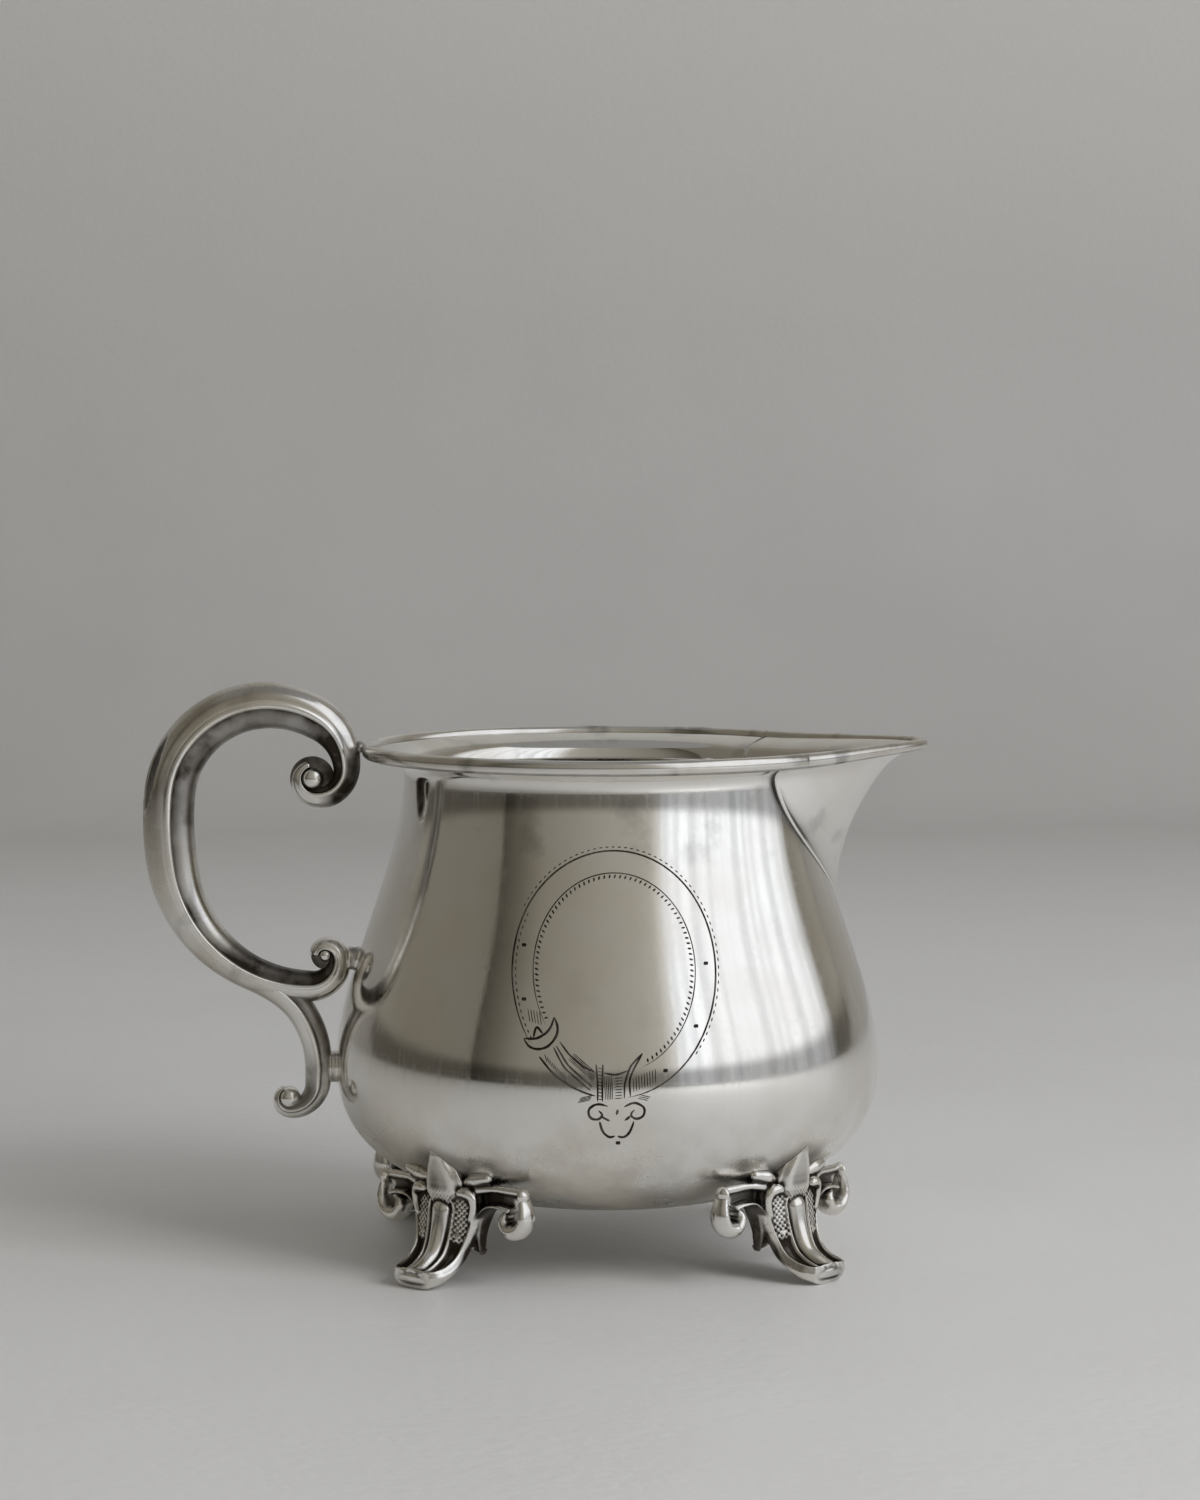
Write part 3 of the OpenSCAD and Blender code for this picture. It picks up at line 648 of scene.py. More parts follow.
beads = dict(upper=(1.9, 2.3), middle=(1.0, 2.0), lower=(1.75, 2.3))  # radius, half length
eyeFloor = dict(radii=(3.4, 2.2), half=0.9, domed=0.1, dark=0.9)  # black plates behind the two upper eyes
floors = []
for eye, radius in zip((upperEye, middleEye), eyeFloor["radii"]):
    floors.append(capped(disc(eye, radius, eyeFloor["half"], eyeFloor["domed"]), eyeFloor["dark"]))
blobR, blobHalf, blobUp = handle["solder"]
blob = disc((-rim["radius"] - 0.35, rim["midZ"] + blobUp), blobR, blobHalf, blobHalf)
handleTone = dict(
    rollHeights=[43.5, 46, 48.5, 57, 61, 66, 73, 80, 86],
    roll=[0.75, 0.6, 0.05, 0.0, 0.2, 0.5, 0.62, 0.56, 0.6],
    crownRuns=[7.5, 9, 10.5, 16.5, 18.5, 24, 30],  # distance from the eye of the upper volute
    # crown: the black from 10.5 to 16.5 is painted shade and dark reflection on the upper volute's outside,
    # by the dark solder joint; film elsewhere
    crown=[-0.15, 0.4, 1.0, 0.95, -0.05, -0.3, -0.45],
    lowCrown=-0.25,
    volute=0.85,
    eyes=1.8,  # how fast a volute blackens towards its eye
    # branch: the black at the crotch by the stem (roll) and inside the hook (crown) is painted shade
    branchShares=[0, 0.3, 0.55, 0.72, 1],
    branchCrown=[-0.25, -0.2, 0.2, 0.7, 0.9],
    branchRollShares=[0, 0.25, 0.5, 0.75, 1],
    branchRoll=[0.9, 0.7, 0.4, 0.15, -0.1],
)
scrollRun, scrollZ = along(scrollPath[:, :2]), scrollPath[:, 1]
scrollRoll = np.interp(scrollZ, handleTone["rollHeights"], handleTone["roll"])
scrollRoll += (handleTone["volute"] - scrollRoll) * step(27, 19, scrollRun)
# the black near the upper volute is painted shade, by the dark solder joint
scrollCrown = np.interp(scrollRun, handleTone["crownRuns"], handleTone["crown"])
scrollCrown += (handleTone["lowCrown"] - scrollCrown) * step(68, 56, scrollZ) * (scrollRun > 40)
scrollSkin = sweep(scrollPath, scrollCrown, scrollRoll, handleTone["eyes"], notchCut)
putPiece("scroll", [scrollSkin, capped(blob, 0.5)] + floors, castSilver, ["handle_scroll"])

# Branch: down from the stem to the lower collar, then round the hook
lowerZ = middleZ - collar["drop"]
branchFace = -(lowRadiusAt(lowerZ) + collar["lowerLength"])
branchMid = np.array([branchFace - handle["branchSection"][0], lowerZ])
stemPart = [(stemR, handle["stemTurn"] / 3, *handle["forkSection"])]
goal = walk(stemStart[:2], stemStart[2], stemStart[3:], stemPart, 1)[0][-1]
goalRun, goalRise = branchMid[0] - goal[0], goal[1] - branchMid[1]
branchR = (goalRun**2 + goalRise**2) / (2 * goalRun)
branchTurn = np.degrees(np.arctan2(goalRise, branchR - goalRun))
# the tail lies in the stem, so that one outline runs into the other
tail = dict(radius=400.0, length=3.4, out=0.36, section=(2.5, 2.9, 0.85))
upRuns = [(branchR, branchTurn * share, *section) for share, *section in handle["branchRuns"]]
upRuns.append((tail["radius"], np.degrees(tail["length"] / tail["radius"]), *tail["section"]))
branchUp = walk(branchMid, 90, handle["branchSection"], upRuns, 1)[0]
branchDown, lowerEye = walk(branchMid, 270, handle["branchSection"], handle["hookRuns"], -1)
branchPath = np.concatenate([turnedBack(branchUp)[:-1], branchDown])
branchPath[:, 3:] = eased(branchPath[:, 3:], 1.2 / handle["pitch"])
branchRun = along(branchPath[:, :2])
out = tail["out"] * step(12, tail["length"], branchRun)
turn = np.radians(branchPath[:, 2])
branchPath[:, :2] += out[:, None] * np.stack([np.sin(turn), -np.cos(turn)], 1)
branchShare = branchRun / branchRun[-1]
# painted shade at the crotch and inside the hook
branchCrown = np.interp(branchShare, handleTone["branchShares"], handleTone["branchCrown"])
branchRoll = np.interp(branchShare, handleTone["branchRollShares"], handleTone["branchRoll"])
putPiece("branch", [sweep(branchPath, branchCrown, branchRoll)], castSilver, ["handle_branch"])

for name, eye in (("upper", upperEye), ("middle", middleEye), ("lower", lowerEye)):
    radius, half = beads[name]
    shape = disc(eye, radius, half, radius * 0.92)
    putPiece(name + "Bead", [capped(shape)], castSilver, [name + "_bead"])


def collarRings(face, z, diameter, length):  # waisted lathe between the handle and the body
    share = np.linspace(0, 1, 25)
    waist = 1 - 0.3 * length / diameter * np.sin(np.pi * np.clip((share - 0.15) / 0.7, 0, 1)) ** 0.6
    turn = np.linspace(0, 2 * np.pi, 48, endpoint=False)[None, :]
    radius = (diameter / 2 * waist)[:, None]
    y, height = radius * np.cos(turn), z + radius * np.sin(turn)
    surface = -np.sqrt(np.maximum(lowRadiusAt(height) ** 2 - y**2, 0)) + 0.02
    x = axisX + face - 0.4 + (surface - face + 0.4) * share[:, None]  # its end is let into the handle
    return np.stack([x, y, height], -1), np.broadcast_to((1 - waist)[:, None] * 6, x.shape)


middleFace = -(radiusAt(middleZ) + collar["middleLength"])
for name, face, z in (("middle", middleFace, middleZ), ("lower", branchFace, lowerZ)):
    rings, shade = collarRings(face, z, collar[name + "D"], collar[name + "Length"])
    skin = capped(rings, np.clip(shade, 0, 0.6))
    putPiece(name + "Collar", [skin], castSilver, [name + "_stud"])

# Engraved strap and buckle on the front: q to the right of its middle line and z up, in millimetres

engraving = dict(
    turn=np.radians(-2.3),  # middle line, from the front towards the spout
    outer=(14.95, 17.65, 47.55),  # half breadth, half height, middle height
    dashes=(15.4, 18.15, 47.6),
    innerDashes=(14.45, 17.1, 47.55),
    inner=(11.9, 14.2, 47.8),
    outerArcs=[(-83, 214), (222, 259)],  # bearings in degrees, 0 to the right
    innerArc=(-70, 212),
    teethArc=(-66, 210),
    dashArcs=dict(dashes=(-40, 150), innerDashes=(150, 214)),
    dashStep=(3.4, 2.0),  # from dash to dash, and one dash
    teeth=(0.8, 0.2, 0.8),  # pitch, and how far in from the line they start and end
    line=0.36,
    bold=0.46,
    thin=0.24,
    fine=0.16,
    eyelet=0.6,
    dark=0.95,
    eyelets=[(-13.2, 51.5), (-13.25, 43.85), (13.5, 48.8), (11.9, 40.0), (7.35, 33.8), (0.4, 23.2)],
    buckle=[
        [(-13.3, 38.3), (-12.7, 37.1), (-11.3, 36.7), (-9.7, 37.2), (-8.4, 38.9), (-8.3, 40.2), (-8.9, 41.5)],
        [(-13.3, 38.3), (-11.6, 38.2), (-10.3, 38.9), (-9.3, 39.9), (-8.9, 41.4)],
        [(-11.9, 38.4), (-11.5, 40.3), (-10.5, 39.0)],
    ],
    knot=[
        [(-8.1, 38.0), (-6.6, 36.0), (-4.5, 34.3), (-2.9, 33.7)],
        [(-9.0, 37.2), (-7.5, 34.3), (-3.6, 31.0)],
        [(-8.6, 37.4), (-6.9, 34.6), (-3.4, 31.6)],
        [(-11.0, 35.8), (-9.1, 33.3), (-6.6, 31.6), (-3.9, 30.4)],
        [(-2.8, 34.9), (-2.6, 32.2), (-2.6, 29.4)],
        [(-1.8, 34.9), (-1.9, 32.2), (-1.9, 29.4)],
        [(1.3, 29.8), (1.3, 32.0), (2.2, 34.6), (4.0, 36.4)],
        [(2.2, 30.1), (2.0, 32.5), (2.8, 34.4), (4.0, 36.3)],
        [(-1.7, 33.6), (0.1, 33.2), (1.8, 33.9)],
    ],
    tulip=[
        [(-1.1, 28.7), (-2.6, 29.2), (-4.1, 28.3), (-3.8, 26.9), (-2.6, 26.6), (-1.6, 27.4), (-2.5, 28.1)],
        [(1.2, 28.6), (2.8, 29.4), (4.4, 28.5), (4.1, 27.0), (2.8, 26.7), (2.0, 27.5), (2.8, 28.2)],
        [(-2.3, 26.5), (-2.0, 25.1), (-1.2, 24.1), (-0.5, 23.9), (0.0, 24.3)],
        [(0.3, 24.3), (0.8, 23.9), (1.6, 24.1), (2.3, 25.1), (2.7, 26.5)],
        [(-2.0, 27.2), (-0.8, 26.5)],
        [(0.4, 28.3), (0.1, 27.4)],
        [(1.3, 26.6), (2.3, 27.3)],
    ],
    shading=[  # rows of short strokes: first stroke's two ends, step to the next, how many
        ((-12.7, 42.6), (-12.4, 40.6), (0.42, -0.1), 5),
        ((-10.3, 36.2), (-9.9, 34.9), (0.36, -0.36), 9),
        ((-6.9, 35.6), (-3.2, 32.4), (0.16, 0.16), 6),
        ((-2.6, 34.3), (-1.9, 34.2), (0.0, -0.5), 10),
        ((-1.6, 33.2), (-1.45, 29.6), (0.26, 0.0), 5),
        ((-0.2, 32.8), (1.1, 32.9), (0.0, -0.42), 8),
        ((2.6, 32.9), (2.7, 30.7), (0.4, 0.16), 9),
        ((-5.6, 29.2), (-3.6, 29.7), (0.12, 0.22), 4),
        ((4.8, 29.5), (3.2, 29.9), (0.2, 0.24), 3),
    ],
)


def onBody(flat, lift):  # from q and z to the body's skin: the bearing's sine is q over the radius
    q, z = flat[..., 0], flat[..., 1]
    radius = lowRadiusAt(z)
    bearing = engraving["turn"] + np.arcsin(np.clip(q / radius, -1, 1))
    out = radius + ripple(bearing - np.pi / 2, z) + lift
    return np.stack([axisX + out * np.sin(bearing), -out * np.cos(bearing), z], -1)


def cut(points, width):  # flat closed band on the skin: edges sunk, middle proud, underside buried
    line = np.asarray(points, float)
    bent = len(line) > 2
    count = max(14 if bent else 4, int(along(line)[-1] / 0.25))
    line = spaced(line, count)
    line = eased(line, 2.0) if bent and len(points) < 20 else line
    way = unit(np.gradient(line, axis=0))
    side = np.stack([-way[:, 1], way[:, 0]], 1)
    share = np.linspace(-1, 1, count)[:, None]
    half = width / 2 * np.sqrt(np.clip(1 - share**6, 0.03, 1))
    edges = ((1, -0.01), (0, 0.02), (-1, -0.01), (0, -0.06))
    rings = np.stack([onBody(line + k * half * side, lift) for k, lift in edges], 1)
    return capped(rings, engraving["dark"])


def oval(size, start, end, inset=0.0):  # points on an ellipse between two bearings, three to a degree
    a = np.radians(np.linspace(start, end, int(abs(end - start) * 3)))
    breadth, height, middle = size
    return np.stack([(breadth - inset) * np.cos(a), middle + (height - inset) * np.sin(a)], 1)


def teeth(start, end):  # slanting nicks inside the inner ellipse, a pitch apart
    pitch, low, high = engraving["teeth"]
    line = oval(engraving["inner"], start, end, low)
    tips = oval(engraving["inner"], start + 1.2, end + 1.2, high)
    nicks = np.arange(0, along(line)[-1], pitch)
    ends = [np.stack([np.interp(nicks, along(line), column) for column in row.T], 1) for row in (line, tips)]
    return np.stack(ends, 1)


def engravingParts():  # each line of the strap, buckle, knot and flower as a cut of its own
    line, thin = engraving["line"], engraving["thin"]
    parts = [cut(oval(engraving["outer"], *arc), line) for arc in engraving["outerArcs"]]
    parts.append(cut(oval(engraving["inner"], *engraving["innerArc"]), thin))
    parts += [cut(ends, line) for ends in teeth(*engraving["teethArc"])]
    apart, length = engraving["dashStep"]
    for size, arc in engraving["dashArcs"].items():
        starts = np.arange(*arc, apart)
        parts += [cut(oval(engraving[size], a, a + length)[[0, -1]], thin) for a in starts]
    for key, width in (("buckle", "bold"), ("knot", "line"), ("tulip", "bold")):
        parts += [cut(points, engraving[width]) for points in engraving[key]]
    for first, last, pace, many in engraving["shading"]:
        ends = np.array([first, last])
        parts += [cut(ends + np.multiply(pace, i), engraving["fine"]) for i in range(many)]
    for q, z in engraving["eyelets"]:
        parts.append(cut([(q + off, z) for off in (-0.36, -0.1, 0.1, 0.36)], engraving["eyelet"]))
    return parts


putPiece("engraving", engravingParts(), sheetSilver)

# Cast feet, worked out with x away from the body's axis and y along the belly

foot = dict(
    toeReach=44.4,
    wingBack=9.9,  # the wings' plane lies this far behind the toe
    toeTop=2.9,
    breadth=[(0, 6.0), (0.15, 6.7), (0.35, 6.3), (0.6, 5.2), (0.8, 4.9), (0.92, 4.6), (1, 3.6)],
    thick=[(0, 4.4), (0.2, 3.2), (0.5, 2.4), (0.75, 2.3), (0.9, 2.8), (1, 2.95)],
    bow=1.2,  # the panels slant back from the tongue
    tongueTop=0.19,
    tongueHalf=[(0.19, 1.8), (0.4, 1.6), (0.9, 1.1)],
    beadPitch=0.86,
    beadHigh=0.34,
    leafZ=[10.8, 12.0, 13.0, 14.0, 15.5, 17.4, 19.2, 20.3, 20.6],
    leafHalf=[1.2, 2.3, 3.2, 3.7, 3.6, 2.8, 1.7, 0.7, 0.2],
    leafFrontZ=[10.8, 12.0, 13.0, 13.9, 15.6, 17.4, 19.2, 20.6],
    leafFront=[37.2, 37.75, 38.05, 38.25, 38.45, 38.8, 39.1, 39.4],
    shoulder=[
        (37.0, 5.2, 9.6),
        (36.8, 5.9, 11.8),
        (36.9, 5.9, 13.2),
        (37.2, 5.0, 14.0),
        (37.6, 3.9, 14.1),
        (37.6, 3.3, 13.4),
    ],
    shoulderR=(0.45, 0.6, 0.75, 0.95, 0.8, 0.5),
    sprig=[(36.2, 3.4, 15.2), (36.1, 5.6, 15.9), (36.0, 8.6, 16.5)],
    sprigR=(0.6, 1.25, 0.7),
    toeLip=[(43.2, -3.4, 1.5), (43.55, 0, 1.9), (43.2, 3.4, 1.5)],
    toeLipR=(0.8, 1.05, 0.8),
    wingReach=12.3,
    archHeading=105,  # then half thickness and half depth, and arcs as in the handle
    archSection=(0.26, 0.5, 1),
    archRuns=[(9, 35, 0.36, 2.0, 1), (3.7, 70, 0.4, 2.0, 1), (8, 20, 0.5, 1.6, 1)],
    scrollHeading=-70,
    scrollSection=(0.55, 1.1, 1),
    voluteR=1.9,
    barR=(0.9, 0.6, 0.6),
    ballR=(1.3, 1.5),
    voxel=0.134,
    smoothing=3,
    hollowTurns=(30, 120),  # a narrow and a wide running mean
    hollowDepths=[(-0.05, 0.07), (-0.02, 0.3)],  # under each mean: the black starts, and is full; oxide in the narrow hollows, painted shade (as of occlusion) over the wide ones
    black=0.95,
    paintedShadePlaces=[  # ramps that close in each place painted in shade, with some oxide: behind the rims and in the web, between the scrolls, on undersides, and on the leg's sides behind its front
        dict(ahead=[(1.45, 0.75)], side=[(10.0, 8.8)]),
        dict(ahead=[(1.45, 0.75)], side=[(12.6, 11.8)], up=[(0.3, 1.0), (4.0, 3.5)]),
        dict(tilt=[(-0.3, -0.6)], z=[(3.0, 3.6)], side=[(9.5, 8.5)]),
        dict(back=[(-1.6, -2.2)], side=[(4.8, 5.05), (5.9, 5.6)], up=[(-0.8, -1.4)]),
        dict(back=[(-1.0, -1.5)], side=[(5.9, 6.2), (9.5, 8.5)], up=[(-0.6, 0), (3.6, 3.1)]),
    ],
)
relief = dict(
    channel=0.6,
    toeChannel=0.35,  # the channels deepen towards the toe
    tongue=1.25,
    ridge=0.72,
    ridgeAway=0.78,
    ridgeHalf=0.26,
    panel=0.2,
    rim=0.2,
    rimIn=0.5,
    rimHalf=0.36,
)
foot["wingX"] = foot["toeReach"] - foot["wingBack"]
seatZ = float(np.interp(foot["wingX"], bodyLine[:widest, 0], bodyLine[:widest, 1]))
wingZ = seatZ - 4.4


def table(pairs, x):  # straight interpolation in a short table
    return np.interp(x, *zip(*pairs))


def staggeredBeads(a, b, pitch):  # domes on two square lattices, half a step apart: the nearer one counts
    off = [np.hypot((a / pitch + shift) % 1 - 0.5, (b / pitch + shift) % 1 - 0.5) for shift in (0, 0.5)]
    return np.sqrt(np.clip(1 - (np.minimum(*off) / 0.35) ** 2, 0, 1))


def legRelief(y, run, half, length):  # height over the front line: tongue, groove, ridge, beaded panel, rim
    share = run / length
    tongue = table(foot["tongueHalf"], share)
    top = foot["tongueTop"] * length + tongue
    away = np.where(run < top, np.hypot(y, top - run), np.abs(y)) - tongue
    low = -relief["channel"] - relief["toeChannel"] * step(0.5, 0.75, share)
    dome = low + relief["tongue"] * np.sqrt(np.clip(1 - (1 + away / tongue) ** 2, 0, 1)) * (away < 0)
    ridge = low + relief["ridge"] * np.exp(-(((away - relief["ridgeAway"]) / relief["ridgeHalf"]) ** 2))
    beads = staggeredBeads(y, run, foot["beadPitch"]) * step(0.58, 0.54, share) * step(0.06, 0.1, share)
    panel = relief["panel"] + foot["beadHigh"] * beads
    panel = low + panel * step(0.7, 1.0, away) * step(0.62, 0.54, share)
    edge = np.minimum(half - np.abs(y), 1.6 * (length - run))
    border = np.exp(-(((edge - relief["rimIn"]) / relief["rimHalf"]) ** 2))
    border = low + (relief["rim"] - low) * border
    return np.maximum(np.maximum(dome, ridge), np.maximum(panel, border))


def legFront():  # the leg's front line from the seat down to the toe, distance out and height
    reach, seat, toe = foot["toeReach"], seatZ, foot["toeTop"]
    corners = [(reach - 7.2, seat + 0.9), (reach - 5.5, seat - 5.2), (reach - 7.2, toe + 1.7), (reach, toe)]
    return spaced(cubicCurve(corners, np.linspace(0, 1, 300)), 170)


def legX(z):  # how far out the front line is at a height
    line = legFront()[::-1]
    return np.interp(z, line[:, 1], line[:, 0])


def legPart():  # strap of a given thickness behind the front line, relief in front, rounded behind
    front = legFront()
    length = along(front)[-1]
    share = np.linspace(0, 1, len(front))[:, None]
    half = eased(table(foot["breadth"], share[:, 0]), 4.0)[:, None]
    inward = normalsOf(front)
    u = np.linspace(-1, 1, 141)[None, :]
    uBack = np.linspace(1, -1, 61)[None, 1:-1]
    bow = foot["bow"] * step(1.05, 0.6, share)
    depth = bow * np.abs(u) ** 1.7 + 0.3 * u**6 - legRelief(u * half, share * length, half, length)
    thick = bow * np.abs(uBack) ** 1.7 + table(foot["thick"], share) * (0.5 + 0.5 * np.sqrt(1 - uBack**4))
    across = np.concatenate([u * half, uBack * half], 1)
    into = np.concatenate([depth, thick], 1)
    x = front[:, :1] + inward[:, :1] * into
    z = front[:, 1:] + inward[:, 1:] * into
    return capped(np.stack([x, across, np.maximum(z, -0.3)], -1))


def leafPart():  # shield with a flat bevelled front, its back buried in the body
    z = np.linspace(foot["leafZ"][0], foot["leafZ"][-1], 70)[:, None]
    half = eased(np.interp(z, foot["leafZ"], foot["leafHalf"]), 2.0)
    a = np.linspace(-1, 1, 61)[None, :]
    stipple = 0.2 * staggeredBeads(a * half, z, 0.7) * step(14.8, 13.6, z)
    bevel = 1.0 * step(0.6, 1.0, np.abs(a)) + 0.2 * a**2
    x = np.interp(z, foot["leafFrontZ"], foot["leafFront"]) - bevel + stipple
    front = np.stack(np.broadcast_arrays(x, a * half, z), -1)
    behind = front[:, ::-1] * (1, 0.95, 1) - (3.6, 0, 0)
    return capped(np.concatenate([front, behind], 1))


def rod(path, radii, sides=20):  # tube on a smooth path through a few points, with round ends
    path, radii = np.asarray(path, float), np.asarray(radii, float)
    run = along(path)
    steps = np.linspace(0, run[-1], 60)
    line = eased(spaced(path, 60), 5.0)
    radius = eased(np.interp(steps, run, radii), 3.0)
    toEnd = np.minimum(steps, run[-1] - steps)
    radius = radius * np.sqrt(np.clip(1 - np.clip(1 - toEnd / radius, 0, 1) ** 2, 0.0004, 1))
    way = unit(np.gradient(line, axis=0))
    side = unit(np.cross(way, (1.0, 0.0, 0.0)))
    lift = np.cross(side, way)
    a = np.linspace(0, 2 * np.pi, sides, endpoint=False)
    ring = np.cos(a)[:, None] * side[:, None, :] + np.sin(a)[:, None] * lift[:, None, :]
    return capped(line[:, None, :] + radius[:, None, None] * ring)


def strap(stations, forward):  # oval carried along arcs in the wing's plane: thick in it, deep across it
    y, z, way, thick, deep = [column[:, None] for column in stations.T[:5]]
    a = np.linspace(0, 2 * np.pi, 28, endpoint=False)[None, :]
    turn = np.radians(way)
    rings = [
        foot["wingX"] + forward - deep * np.sin(a),
        y - thick * np.cos(a) * np.sin(turn),
        z + thick * np.cos(a) * np.cos(turn),
    ]
    return capped(np.stack(rings, -1))


def wingParts():  # arch, hanging C scroll, web, bar, corner ball, rolled shoulder and sprig on one side
    x, reach, volute = foot["wingX"], foot["wingReach"], foot["voluteR"]
    archStart, corner = (reach - 6.5, wingZ - 5.9), (reach + 1.6, wingZ + 3.7)
    arch = walk(archStart, foot["archHeading"], foot["archSection"], foot["archRuns"], -1)[0]
    scrollRuns = [(9, 20, 0.95, 1.7, 1), (volute + 0.4, 90, 1.35, 2.0, 1)]
    scrollRuns += [(volute - 0.3, 90, 1.0, 1.7, 1), (1.1, 70, 0.5, 1.2, 1)]
    scroll = walk(corner, foot["scrollHeading"], foot["scrollSection"], scrollRuns, -1)[0]
    root = 3.4  # the web starts inside the leg
    run = np.linspace(0, 1, len(arch))
    corners = [root, root, corner[0] - 0.4], [archStart[1] + 2.2, wingZ + 4.6, corner[1]]
    upper = np.stack([np.interp(run, [0, 0.35, 1], column) for column in corners], 1)
    lower = arch[:, :2]
    upperX = np.interp(run, [0, 0.35, 1], [legX(archStart[1]) - 2.6, legX(wingZ + 4.6) - 2.6, x])
    archX = np.full(len(run), x)
    sheets = [(archX + 0.3, lower), (upperX + 0.3, upper), (upperX - 0.9, upper), (archX - 0.9, lower)]
    web = np.stack([np.column_stack([depth, line]) for depth, line in sheets], 1)
    bar = [(36.2, 5.4, wingZ + 4.0), (35.4, 8.5, wingZ + 4.4), (34.6, corner[0], corner[1] + 0.5)]
    ball = [(34.8, corner[0] - 0.7, corner[1] + 0.1), (34.9, corner[0] + 0.9, corner[1] + 0.0)]
    return [
        strap(arch, 0.3),
        strap(scroll, 0.2),
        capped(web),
        rod(bar, foot["barR"]),
        rod(ball, foot["ballR"]),
        rod(foot["shoulder"], foot["shoulderR"]),
        rod(foot["sprig"], foot["sprigR"]),
    ]


def mirrored(part):  # the other side: y turned over, and each face with it
    return part[0] * (1, -1, 1), part[1][:, ::-1], part[2]


def remeshed(parts, voxel):  # one skin over overlapping solids, from a grid of small cubes
    points, quads, shade = joined(parts)
    mesh = newMesh("footStock", points, quads, shade)
    stock = bpy.data.objects.new("footStock", mesh)
    scene.collection.objects.link(stock)
    skin = stock.modifiers.new("skin", "REMESH")
    skin.mode = "VOXEL"
    skin.voxel_size = voxel
    fresh = bpy.data.meshes.new_from_object(stock.evaluated_get(bpy.context.evaluated_depsgraph_get()))
    spots = np.empty(len(fresh.vertices) * 3, np.float32)
    fresh.vertices.foreach_get("co", spots)
    corners = np.empty(len(fresh.loops), np.int32)
    fresh.loops.foreach_get("vertex_index", corners)
    bpy.data.objects.remove(stock)
    for spare in (fresh, mesh):
        bpy.data.meshes.remove(spare)
    return spots.reshape(-1, 3).astype(float), corners.reshape(-1, 4)


def neighbourMean(values, pairs, count):  # mean over each point's neighbours along the edges
    total = [np.bincount(pairs[:, 0], column[pairs[:, 1]], len(values)) for column in values.T]
    return np.stack(total, 1) / count[:, None]


def outwardOf(points, quads):  # point normals: the sum of the normals of the faces round each point
    a, b, c, d = [points[quads[:, k]] for k in range(4)]
    face = np.cross(c - a, d - b)
    total = [np.bincount(quads.ravel(), np.repeat(column, 4), len(points)) for column in face.T]
    return unit(np.stack(total, 1))


def clearOfBody(points, clearance):  # a point inside the body goes out along the nearest normal
    line = spaced(bodyLine, 400)[:260]
    normal = normalsOf(line)
    radius = np.hypot(points[:, 0], points[:, 1])
    flat = np.stack([radius, points[:, 2]], 1)
    near = np.argmin(((flat[:, None, :] - line[None]) ** 2).sum(-1), 1)
    off = ((flat - line[near]) * normal[near]).sum(1)
    push = np.maximum(clearance - off, 0)[:, None] * normal[near]
    share = (radius + push[:, 0]) / np.maximum(radius, 1e-6)
    return np.stack([points[:, 0] * share, points[:, 1] * share, points[:, 2] + push[:, 1]], 1)


def castFoot():  # leg, leaf and two wings under one skin, smoothed, seated, darkened in its hollows and given painted shade behind, under and between its parts
    wing = wingParts()
    lip = rod(foot["toeLip"], foot["toeLipR"])
    parts = [legPart(), leafPart(), lip] + wing + [mirrored(part) for part in wing]
    points, quads = remeshed(parts, foot["voxel"])
    pairs = np.concatenate([quads[:, [k, (k + 1) % 4]] for k in range(4)])
    pairs = np.concatenate([pairs, pairs[:, ::-1]])
    count = np.bincount(pairs[:, 0], minlength=len(points)).astype(float)
    for turn in range(foot["smoothing"]):
        points = points + 0.5 * (neighbourMean(points, pairs, count) - points)
    normal, soft = outwardOf(points, quads), points
    shade = np.zeros(len(points))
    # narrow mean: oxide in the hollows; wide mean: painted shade, as of occlusion
    for turns, depths in zip(foot["hollowTurns"], foot["hollowDepths"]):
        for turn in range(turns):
            soft = neighbourMean(soft, pairs, count)
        shade = np.maximum(shade, step(*depths, ((soft - points) * normal).sum(1)))
    measures = dict(
        ahead=points[:, 0] - foot["wingX"],  # of the wings' plane
        back=points[:, 0] - legX(points[:, 2]),  # from the leg's front line
        side=np.abs(points[:, 1]),
        up=points[:, 2] - wingZ,
        z=points[:, 2],
        tilt=normal[:, 2],
    )
    # painted shade in each listed place behind, under and between the parts
    for place in foot["paintedShadePlaces"]:
        ramps = [step(*ends, measures[key]) for key, spans in place.items() for ends in spans]
        shade = np.maximum(shade, foot["black"] * np.prod(ramps, 0))
    points = clearOfBody(points, 0.03)
    points[:, 2] = np.maximum(points[:, 2], 0)
    print("foot skin", len(points), "points")
    return points, quads, shade


footPoints, footQuads, footShade = castFoot()
for name, turn in (("FrontLeft", 225), ("FrontRight", 315), ("RearLeft", 135), ("RearRight", 45)):
    c, s = np.cos(np.radians(turn)), np.sin(np.radians(turn))
    spun = footPoints @ np.array([(c, s, 0), (-s, c, 0), (0, 0, 1)]) + (axisX, 0, 0)
    node = "foot_" + name.replace("Left", "_left").replace("Right", "_right").lower()
    putPiece("foot" + name, [(spun, footQuads, footShade)], castSilver, [node])

print("pieces made")

# Floor and wall in one sweep, the room's light, and the camera

